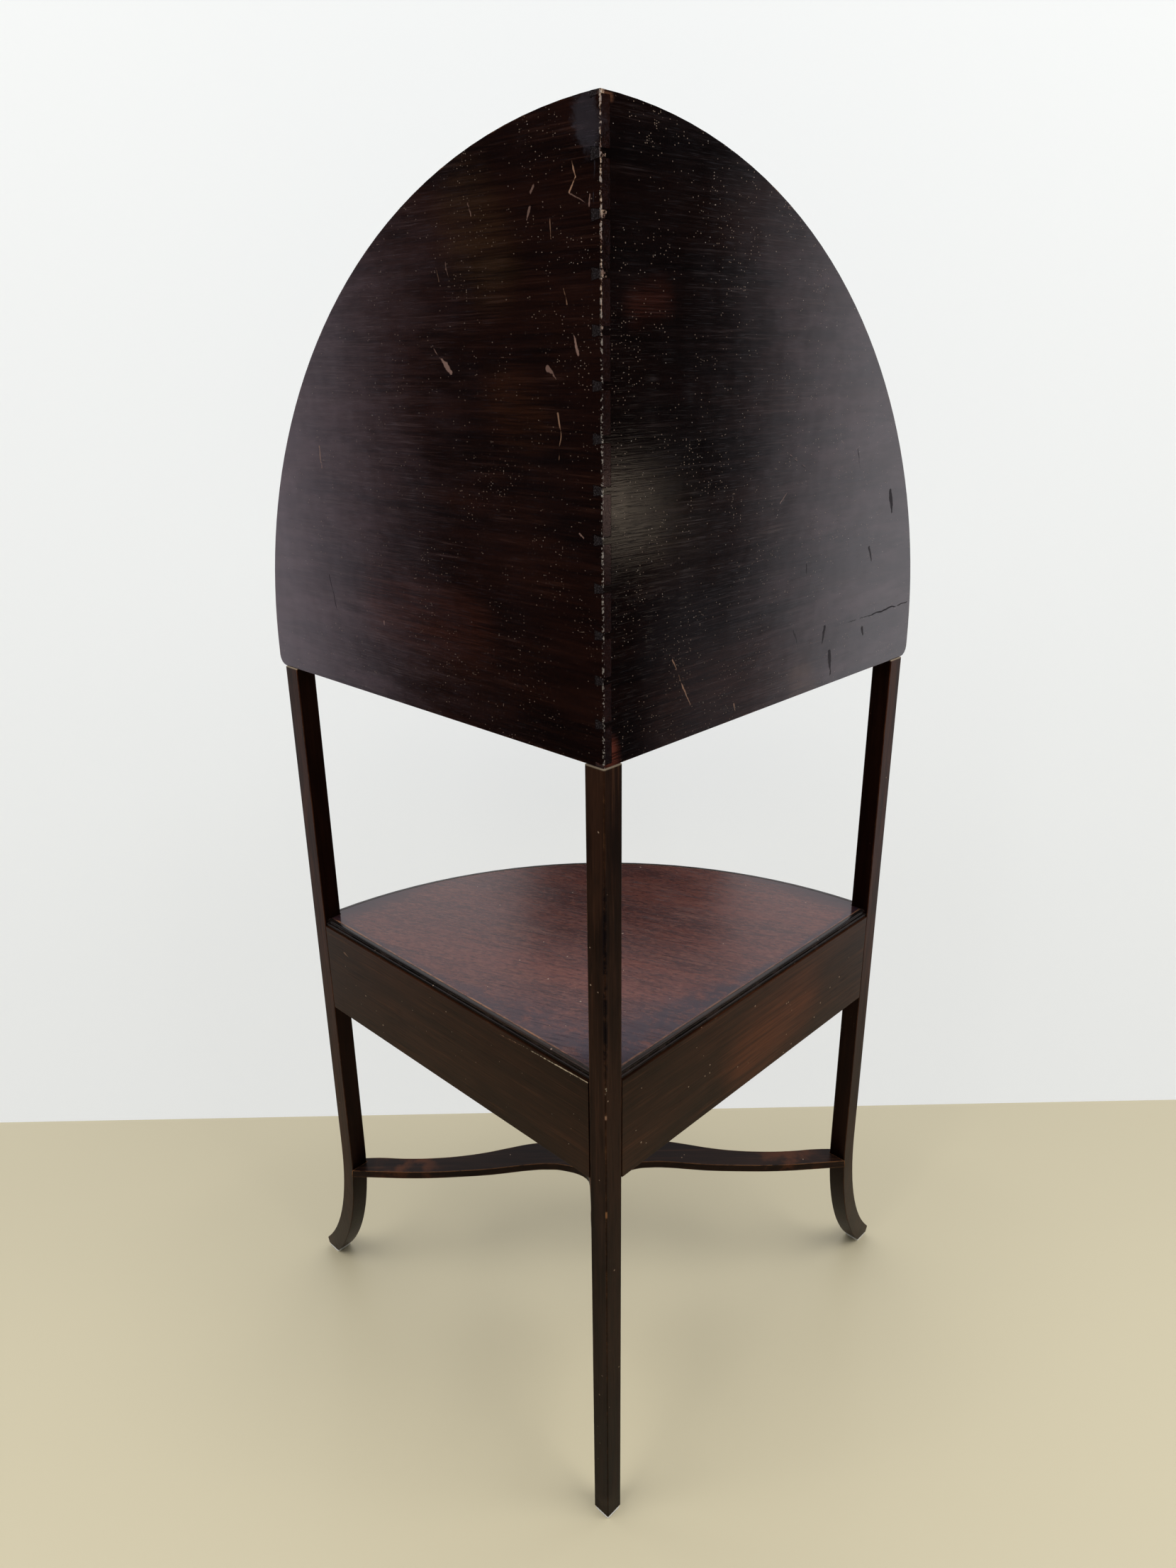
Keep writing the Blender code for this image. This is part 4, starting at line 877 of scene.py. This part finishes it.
def leg_polish(name, gloss, tint, woods):
    """Brown leg polish with painted shade towards the floor, a pale ledge line that is partly a
    painted highlight, and dusty feet.
    """
    made = polished(name, "up", *woods, roughness=0.34, wear=0.46, knocks=0.02, ribbon=45.0,
                    gloss=gloss, tint=tint)
    tree = made["tree"]
    made["place"] = object_spot(tree)
    made["out"] = split(tree, made["place"])
    height = made["out"]["Z"]
    # Painted shade: the polish is darkened towards the floor.
    cover(made, ramp(tree, height, *FLOOR_SHADE_HEIGHTS, 0.0, 0.55), PAINTED_FLOOR_SHADE)
    # A pale line on the ledge where the boards sit: partly pale dust, partly a painted highlight
    # where the ledge catches light from above.
    from_ledge = maths(tree, "ABSOLUTE", maths(tree, "SUBTRACT", height, BOARD_FOOT))
    ledge = ramp(tree, from_ledge, *LEDGE_BAND)
    sideways = ramp(tree, maths(tree, "ABSOLUTE", made["out"]["X"]), 0.1, 0.2, 0.25, 0.40)
    cover(made, times(tree, ledge, sideways), CREAM, 1.0, 0.2)
    scuffs = noise(tree, made["spot"], 70.0, 4.0)
    dusty = times(tree, ramp(tree, height, FOOT_DUST_HEIGHT, 0.0), ramp(tree, scuffs, 0.35, 0.7))
    cover(made, dusty, FOOT_DUST, 0.25, 0.25)
    return made


# Painted light: the side legs' wood colours are about twice as light as the back leg's, a lit copy
# of the same wood.
side_leg_finish = leg_polish("side_leg_polish", 0.08, (1.0, 0.52, 0.40),
                             (colour(0.0125, 0.0042, 0.0026), colour(0.0580, 0.0190, 0.0105)))
tree, out = side_leg_finish["tree"], side_leg_finish["out"]
# Painted shade: the side legs' faces that look towards the corner are painted near black.
facing = split(tree, true_normal(tree))
inwards = times(tree, facing["X"], maths(tree, "SIGN", out["X"]))
to_corner = times(tree, maths(tree, "SUBTRACT", facing["Y"], inwards), HALF_TURN)
cover(side_leg_finish, ramp(tree, to_corner, 0.80, 0.95), PAINTED_INNER_SHADE, 0.8)
# The back leg's darker colours are the shaded copy of the same wood.
leg_finish = leg_polish("back_leg_polish", 0.04, (1.0, 0.74, 0.62),
                        (colour(0.0074, 0.0034, 0.0023), colour(0.0285, 0.0120, 0.0068)))
print("leg polish nodes:", len(leg_finish["tree"].nodes))

# %% [markdown]
# The back leg's outer arris has its own history: old dirt has gathered in a dark broken line above
# the shelf, and below it the arris is chipped to pale wood. The marks are placed by pixel again.

# %% The back leg's arris
tree, out, place_on_leg = leg_finish["tree"], leg_finish["out"], leg_finish["place"]
height = out["Z"]
flat = place(tree, "ShaderNodeCombineXYZ", X=out["X"], Y=out["Y"]).outputs[0]
at_arris = ramp(tree, between(tree, "DISTANCE", flat, tuple(CORNER)), 0.0030, 0.0014)
at_edge = ramp(tree, between(tree, "DISTANCE", flat, tuple(CORNER)), 0.0012, 0.0006)
broken = noise(tree, place_on_leg, 120.0, 5.0, 0.7)
CHIP_SOFT = 2 * MM
DIRT_FROM, DIRT_TO = (wall_spot("right", pixel).z for pixel in ((849, 1520), (845, 1240)))
between_heights = times(tree, ramp(tree, height, DIRT_FROM - 0.01, DIRT_FROM + 0.02),
                        ramp(tree, height, DIRT_TO + 0.02, DIRT_TO - 0.02))
dirt = times(tree, at_arris, between_heights, ramp(tree, broken, 0.40, 0.55))
cover(leg_finish, dirt, DARK_WAX, 0.9, 0.3)
for top, bottom, tint in (((851, 1532), (852, 1545), CREAM), ((852, 1572), (852, 1580), TAN),
                          ((854, 1708), (854, 1719), WORN)):
    upper, lower = wall_spot("right", top).z, wall_spot("right", bottom).z
    chip = times(tree, ramp(tree, height, lower, lower + CHIP_SOFT),
                 ramp(tree, height, upper, upper - CHIP_SOFT), ramp(tree, broken, 0.42, 0.50))
    cover(leg_finish, times(tree, chip, at_edge), tint, 0.7, 0.2)
for leg, finish in (("back", leg_finish), ("right", side_leg_finish), ("left", side_leg_finish)):
    dress(leg + "_leg", "leg_" + leg, finish["material"])
print("dirt from", round(DIRT_FROM, 3), "to", round(DIRT_TO, 3))

# %% [markdown]
# ## The frieze
# The rails, the bowed front and the drawer's front carry the same dark polish, a little browner and
# duller than the boards, with a warm patch where the sun or a cloth has thinned it.

# %% Frieze rails
RAIL_MARKS = {"right": [((829, 1527), (735, 1474), 0.4, CREAM, 0.85),
                        ((735, 1474), (706, 1459), 0.2, TAN, 0.50),
                        ((486, 1344), (492, 1350), 0.8, TAN, 0.35)],
              "left": [((984, 1447), (990, 1449), 1, TAN, 0.80)]}
WARM_PATCH = colour(0.13, 0.034, 0.012)
RAIL_LIGHT = {"right": colour(0.0350, 0.0116, 0.0049), "left": colour(0.0460, 0.0150, 0.0064)}
for side in ("right", "left"):
    rail = polished("rail_polish_" + side, side, colour(0.0120, 0.0044, 0.0021), RAIL_LIGHT[side],
                    roughness=0.36, wear=0.36, knocks=0.03, ribbon=16.0, gloss=0.09,
                    tint=(1.0, 0.62, 0.42), streak=0.35)
    tree = rail["tree"]
    if side == "left":
        warm = use(tree, MARK, Vector=rail["spot"], Start=(0.20, 0.0, 0.44), End=(0.28, 0.0, 0.455),
                   Width=8 * MM, Softness=50 * MM)["Mask"]
        cover(rail, times(tree, warm, ramp(tree, rail["grain"]["Fibres"], 0.2, 0.8, 0.4, 1.0)),
              WARM_PATCH, 0.6)
    lay_marks(rail, RAIL_MARKS[side], partial(wall_spot, side), mark_roughness, Softness=0.5 * MM,
              Ragged=1.8 * MM, Bend=1.0 * MM)
    dress("frieze_rail_" + side, "rail_" + side, rail["material"])
print("rails dressed")

# %% [markdown]
# The bowed front faces the room, out of the photograph's sight. Rails, dummy fronts and apron are
# cut from boards whose grain runs across, so one finish with that direction serves them all. The
# drawer's front has it too, but rides on the drawer.

# %% Bowed front
bow_finish = polished("bow_polish", "across", colour(0.022, 0.0085, 0.005),
                      colour(0.085, 0.028, 0.014), roughness=0.28, knocks=0.02, ribbon=18.0)
for node in ("bow_rail_upper", "bow_rail_lower", "dummy_front_right", "dummy_front_left",
             "top_apron"):
    dress(node, node + "_wood", bow_finish["material"])
dress("drawer_front", "drawer_front_wood", bow_finish["material"], "drawer")
print("bowed front dressed")

# %% [markdown]
# ### Cock beads
# The drawer and the two dummy fronts beside it are edged with a cock bead, a slim half-round strip
# that stands a little proud and guards the veneer. It is taken from the front itself: the outer
# face is kept and inset by the bead's width, its middle is deleted, and the frame that is left is
# thickened outwards and rounded.

# %% Cock beads
BEAD_WIDTH = 0.0021
BEAD_PROUD = 0.0009
BEAD_SUNK = 0.0003
OUTER_FACE = 0.8


def cock_bead(node, name, body):
    """A half-round edging on the outer face of a bowed front."""
    piece = node_copy(node, name, bow_finish["material"])
    bpy.ops.object.mode_set(mode="EDIT")
    bpy.ops.mesh.select_mode(type="FACE")
    bpy.ops.mesh.select_all(action="SELECT")
    bpy.ops.mesh.remove_doubles(threshold=WELD)
    bpy.ops.object.mode_set(mode="OBJECT")
    bpy.ops.mesh.customdata_custom_splitnormals_clear()
    middle = Vector((0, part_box("mid_shelf")[1].y, 0))
    for face in piece.data.polygons:
        outwards = (face.center - middle) * Vector((1, 1, 0))
        face.select = face.normal.dot(outwards.normalized()) < OUTER_FACE
    bpy.ops.object.mode_set(mode="EDIT")
    bpy.ops.mesh.delete(type="FACE")
    bpy.ops.mesh.select_all(action="SELECT")
    bpy.ops.mesh.dissolve_limited(angle_limit=FLAT)
    bpy.ops.mesh.select_all(action="SELECT")
    bpy.ops.mesh.inset(thickness=BEAD_WIDTH, use_boundary=True, use_even_offset=True)
    bpy.ops.mesh.delete(type="FACE")
    bpy.ops.mesh.select_mode(type="VERT")
    bpy.ops.object.mode_set(mode="OBJECT")
    shell = piece.modifiers.new("shell", "SOLIDIFY")
    shell.thickness = BEAD_PROUD + BEAD_SUNK
    shell.offset = (BEAD_PROUD - BEAD_SUNK) / (BEAD_PROUD + BEAD_SUNK)
    shell.use_even_offset = True
    bpy.ops.object.modifier_apply(modifier=shell.name)
    rounding = piece.modifiers.new("rounding", "BEVEL")
    rounding.width = BEAD_PROUD * 0.6
    rounding.segments = 3
    rounding.angle_limit = math.radians(50)
    bpy.ops.object.modifier_apply(modifier=rounding.name)
    bpy.ops.object.shade_smooth_by_angle(angle=math.radians(60))
    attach(piece, body)
    return piece


beads = [cock_bead("drawer_front", "bead_drawer", "drawer"),
         cock_bead("dummy_front_right", "bead_right", "stand"),
         cock_bead("dummy_front_left", "bead_left", "stand")]
print("bead faces:", [len(bead.data.polygons) for bead in beads])

# %% [markdown]
# ## The mid shelf and the basin top
# The two level panels are the reddest wood. The shelf's grain runs aslant, its polish mirrors the
# white wall as a cool sheen, and its arris is rubbed to bright orange wood.

# %% Shelf
MOTTLE_LIGHT, MOTTLE_DARK = colour(0.150, 0.060, 0.040), colour(0.014, 0.006, 0.006)
PIT = colour(0.006, 0.003, 0.003)
shelf_finish = polished("shelf_polish", "aslant", colour(0.040, 0.0120, 0.0105),
                        colour(0.096, 0.027, 0.019), roughness=0.15, wear=0.75, knocks=0.012,
                        ribbon=26.0, fibre=430.0, wear_radius=0.0022, gloss=0.4,
                        tint=(1.0, 0.78, 0.88), streak=0.35)
tree = shelf_finish["tree"]
mottle = between(tree, "MULTIPLY", shelf_finish["spot"], (0.35, 1.0, 1.0))
mottle = noise(tree, mottle, 420.0, 4.0, 0.7)
cover(shelf_finish, ramp(tree, mottle, 0.48, 0.66), MOTTLE_LIGHT, 0.45)
cover(shelf_finish, ramp(tree, mottle, 0.50, 0.34), MOTTLE_DARK, 0.6)
pits = use(tree, FLECKS, Vector=shelf_finish["spot"], Cells=520.0, Amount=0.22, Radius=0.24,
           Stretch=(0.35, 1.0, 1.0))["Mask"]
cover(shelf_finish, pits, PIT, 0.65, 0.1)
print("shelf polish nodes:", len(tree.nodes))

# %% [markdown]
# A blue-black band is painted along the reeds, wider towards the back corner, and where the shelf
# meets the legs: painted shade with a dark reflection in it. Beside it the arris is rubbed to a
# thin orange line. Both are bands at a measured distance from the shelf's straight edges.

# %% Edges of the shelf
# Painted shade and dark reflection along the reeds and into the back corner.
PAINTED_EDGE_SHADE = colour(0.012, 0.009, 0.016)
# Painted shade where the shelf meets the side legs.
PAINTED_LEG_SHADE = colour(0.008, 0.006, 0.010)
LEG_SHADE_REACH = (0.365, 0.405)
EDGE_SHADE_WIDTH = 0.010
EDGE_SHADE_WIDER_BEHIND = 0.075
WORN_LINE = (0.0024, 0.0006)
EDGES = (("right", ALONG_LEFT, 0.70, 0.65), ("left", ALONG_RIGHT, 0.90, 0.35))
shelf = nodes["mid_shelf"]
corners = [shelf.matrix_world @ v.co - CORNER for v in shelf.data.vertices]
shade_and_wear_breakup = noise(tree, shelf_finish["spot"], 55.0, 5.0, 0.7)
for side, away, shade_strength, worn in EDGES:
    straight = min(away.dot(c) for c in corners)
    out = split(tree, along(tree, side))
    from_edge = maths(tree, "SUBTRACT", maths(tree, "ABSOLUTE", out["Y"]), straight)
    worn_line = times(tree, ramp(tree, from_edge, *WORN_LINE), ramp(tree, shade_and_wear_breakup, 0.42, 0.60))
    back = ramp(tree, out["X"], 0.26, 0.04)
    reach = maths(tree, "ADD", EDGE_SHADE_WIDTH, times(tree, back, EDGE_SHADE_WIDER_BEHIND))
    # Painted shade with a dark reflection: a blue-black band along the reeds, wider towards the
    # back corner.
    edge_shade = times(tree, ramp(tree, maths(tree, "DIVIDE", from_edge, reach), 1.0, 0.2),
                     ramp(tree, shade_and_wear_breakup, 0.30, 0.58))
    cover(shelf_finish, edge_shade, PAINTED_EDGE_SHADE, shade_strength)
    # Painted shade where the shelf meets the side legs.
    cover(shelf_finish, ramp(tree, out["X"], *LEG_SHADE_REACH), PAINTED_LEG_SHADE, 0.85)
    cover(shelf_finish, worn_line, WORN, worn, 0.1)
print("shelf edges from the walls:", round(straight, 4))

# %% [markdown]
# The basin top is the same red wood, with the grain level across the front. The splash boards hide
# it in the photograph, so it has the plain finish with no marks of its own.

# %% Top
top_finish = polished("top_polish", "across", colour(0.028, 0.009, 0.006),
                      colour(0.105, 0.030, 0.015), roughness=0.30, wear=0.6, ribbon=20.0)
dress("mid_shelf", "shelf_panel", shelf_finish["material"])
dress("basin_top", "basin_board", top_finish["material"])
print("panels dressed")

# %% [markdown]
# ## The reeded edge
# Two black reeds run round the shelf. The black is a stain and polish, rubbed brown on the crown of
# each reed. Each strip has its own copy of the finish, because the grain follows the strip.

# %% Reeding
for part, direction in (("right", "right"), ("left", "left"), ("front", "across")):
    reed = polished("reed_polish_" + part, direction, colour(0.0030, 0.0026, 0.0026),
                    colour(0.014, 0.010, 0.008), roughness=0.20, wear=0.46, knocks=0.02,
                    ribbon=40.0, gloss=0.30, worn=colour(0.070, 0.042, 0.034))
    dress("shelf_reeding_" + part, "reeds_" + part, reed["material"], round_off=0, smooth=60)
print("reeds dressed")

# %% [markdown]
# ## The stretcher
# A thin board, sawn to three wavy arms. Feet have rubbed it near the side legs, where orange wood
# shows through the polish.

# %% Stretcher
RUBBED_ORANGE = colour(0.13, 0.040, 0.015)
RUB_STARTS, RUB_ENDS = (0.17, 0.21), (0.265, 0.235)
arm_finish = polished("stretcher_polish", "across", colour(0.0045, 0.0028, 0.0027),
                      colour(0.0165, 0.0075, 0.0052), roughness=0.33, wear=0.6, gloss=0.10,
                      tint=(1.0, 0.76, 0.70))
tree = arm_finish["tree"]
out = split(tree, object_spot(tree))
side_reach = maths(tree, "ABSOLUTE", out["X"])
band = times(tree, ramp(tree, side_reach, *RUB_STARTS), ramp(tree, side_reach, *RUB_ENDS))
rub = noise(tree, arm_finish["spot"], 48.0, 4.0)
cover(arm_finish, times(tree, band, ramp(tree, rub, 0.42, 0.62)), RUBBED_ORANGE, 0.45, 0.1)
print("stretcher polish nodes:", len(tree.nodes))

# %% [markdown]
# In the photograph the back arm is hidden behind the back leg almost as far as the side arms, so
# the hollow between them is tight. The copy gets that: each pair of outline points is drawn in
# towards the middle by its own share, as one does with scale in edit mode.

# %% Stretcher shape
HOLLOW_FROM, HOLLOW_TO = -0.005, -0.0735
STRAIGHT_TO = -0.052
ARM_HALF = 0.0104
HOLLOW_REACH = 0.045
SAME_ROW = 0.00003
LEAST_KEPT = 0.12
EASE = 1.3


def beside_arm(point):
    """Whether a point lies in the hollow beside the back arm."""
    return ARM_HALF < abs(point.x) < HOLLOW_REACH


def tighten_hollow(piece):
    """Draws the outline points beside the back arm towards the middle, pair by pair."""
    rows = sorted({round(v.co.y, 5) for v in piece.data.vertices
                   if HOLLOW_TO < v.co.y < HOLLOW_FROM and beside_arm(v.co)})
    for row in rows:
        at_row = [abs(v.co.x) for v in piece.data.vertices
                  if abs(v.co.y - row) < SAME_ROW and beside_arm(v.co)]
        if not at_row:
            continue
        half = sum(at_row) / len(at_row)
        share = max(0.0, (STRAIGHT_TO - row) / (STRAIGHT_TO - HOLLOW_TO)) ** EASE
        kept = LEAST_KEPT + (1 - LEAST_KEPT) * share
        wanted = ARM_HALF + (half - ARM_HALF) * kept
        pick(piece, lambda co: abs(co.y - row) < SAME_ROW and beside_arm(co))
        bpy.ops.transform.resize(value=(wanted / half, 1, 1), center_override=(0, row, 0))
    print("rows drawn in:", len(rows))


dress("stretcher", "stretcher_arms", arm_finish["material"], shape=tighten_hollow)

# %% [markdown]
# ## Pine
# The hidden parts are cheap pine that was never polished: the drawer's sides, back and bottom, the
# runners and what holds the top. Its grain is wide, and dust and hands have browned it.

# %% Pine
PINE_DARK, PINE_LIGHT = colour(0.23, 0.125, 0.055), colour(0.40, 0.255, 0.13)
PINE_FIBRE = colour(0.16, 0.085, 0.04)
PINE_GRIME = colour(0.09, 0.055, 0.03)


def bare_pine(name, direction):
    """Unpolished pine, browned by age."""
    made, tree, shader = new_material(name)
    spot = along(tree, direction)
    grain = use(tree, GRAIN, Vector=spot, Ribbon_Scale=75.0, Fibre_Scale=480.0)
    wood = blend(tree, ramp(tree, grain["Ribbons"], 0.38, 0.62), PINE_DARK, PINE_LIGHT)
    wood = blend(tree, times(tree, grain["Fibres"], 0.35), wood, PINE_FIBRE)
    grime = noise(tree, spot, 14.0, 5.0, 0.7)
    wood = blend(tree, ramp(tree, grime, 0.45, 0.8, 0.0, 0.6), wood, PINE_GRIME)
    bump = place(tree, "ShaderNodeBump", Strength=0.5, Distance=0.0004, Height=grain["Fibres"])
    tree.links.new(wood, shader.inputs["Base Color"])
    tree.links.new(ramp(tree, grain["Fibres"], 0.3, 0.7, 0.6, 0.78), shader.inputs["Roughness"])
    tree.links.new(bump.outputs[0], shader.inputs["Normal"])
    return made


pine = {direction: bare_pine("pine_" + direction, direction) for direction in TURNS
        if direction not in ("up", "aslant")}
PINE_STAND = {"top_cleat_right": "right", "top_cleat_left": "left", "top_block_right": "across",
              "top_block_left": "across", "drawer_runner_right": "depth",
              "drawer_runner_left": "depth", "drawer_guide_right": "depth",
              "drawer_guide_left": "depth"}
PINE_DRAWER = {"drawer_side_right": "depth", "drawer_side_left": "depth", "drawer_back": "across",
               "drawer_bottom": "across"}
for body, pieces in (("stand", PINE_STAND), ("drawer", PINE_DRAWER)):
    for node, direction in pieces.items():
        dress(node, node + "_pine", pine[direction], body)
print("pine pieces:", len(PINE_STAND) + len(PINE_DRAWER))

# %% [markdown]
# ## Brass knobs and felt pads
# The three knobs are turned brass that has gone dull in patches. The pads under the feet are new
# white felt.

# %% Brass
BRASS, TARNISH = colour(0.68, 0.45, 0.16), colour(0.20, 0.12, 0.045)
brass, tree, shader = new_material("aged_brass")
tarnish = noise(tree, object_spot(tree), 240.0, 5.0, 0.7)
stain = ramp(tree, tarnish, 0.45, 0.72)
tree.links.new(blend(tree, stain, BRASS, TARNISH), shader.inputs["Base Color"])
tree.links.new(ramp(tree, stain, 0.0, 1.0, 0.24, 0.5), shader.inputs["Roughness"])
shader.inputs["Metallic"].default_value = 1.0
dress("dummy_knob_right", "knob_right", brass, smooth=50)
dress("dummy_knob_left", "knob_left", brass, smooth=50)
dress("drawer_knob", "knob_drawer", brass, "drawer", smooth=50)
print("knobs dressed")

# %% [markdown]
# Felt has no gloss and no grain, only fuzz. A very fine noise gives it in colour and in bump, and a
# little sheen on the shader catches light at the rim.

# %% Felt
FELT_DARK, FELT_LIGHT = colour(0.78, 0.78, 0.76), colour(0.93, 0.93, 0.92)
felt, tree, shader = new_material("white_felt")
fuzz = noise(tree, object_spot(tree), 1800.0, 4.0, 0.8)
tree.links.new(blend(tree, ramp(tree, fuzz, 0.3, 0.7), FELT_DARK, FELT_LIGHT),
               shader.inputs["Base Color"])
bump = place(tree, "ShaderNodeBump", Strength=0.8, Distance=0.0004, Height=fuzz)
tree.links.new(bump.outputs[0], shader.inputs["Normal"])
shader.inputs["Roughness"].default_value = 0.95
shader.inputs["Sheen Weight"].default_value = 0.3
for leg in ("back", "right", "left"):
    dress("foot_pad_" + leg, "pad_" + leg, felt, smooth=50)
print("pads dressed")

# %% [markdown]
# ## Finish
# The view transform is Standard, so a colour shows as it is written.

# %% Set the view transform
bpy.context.scene.view_settings.view_transform = "Standard"
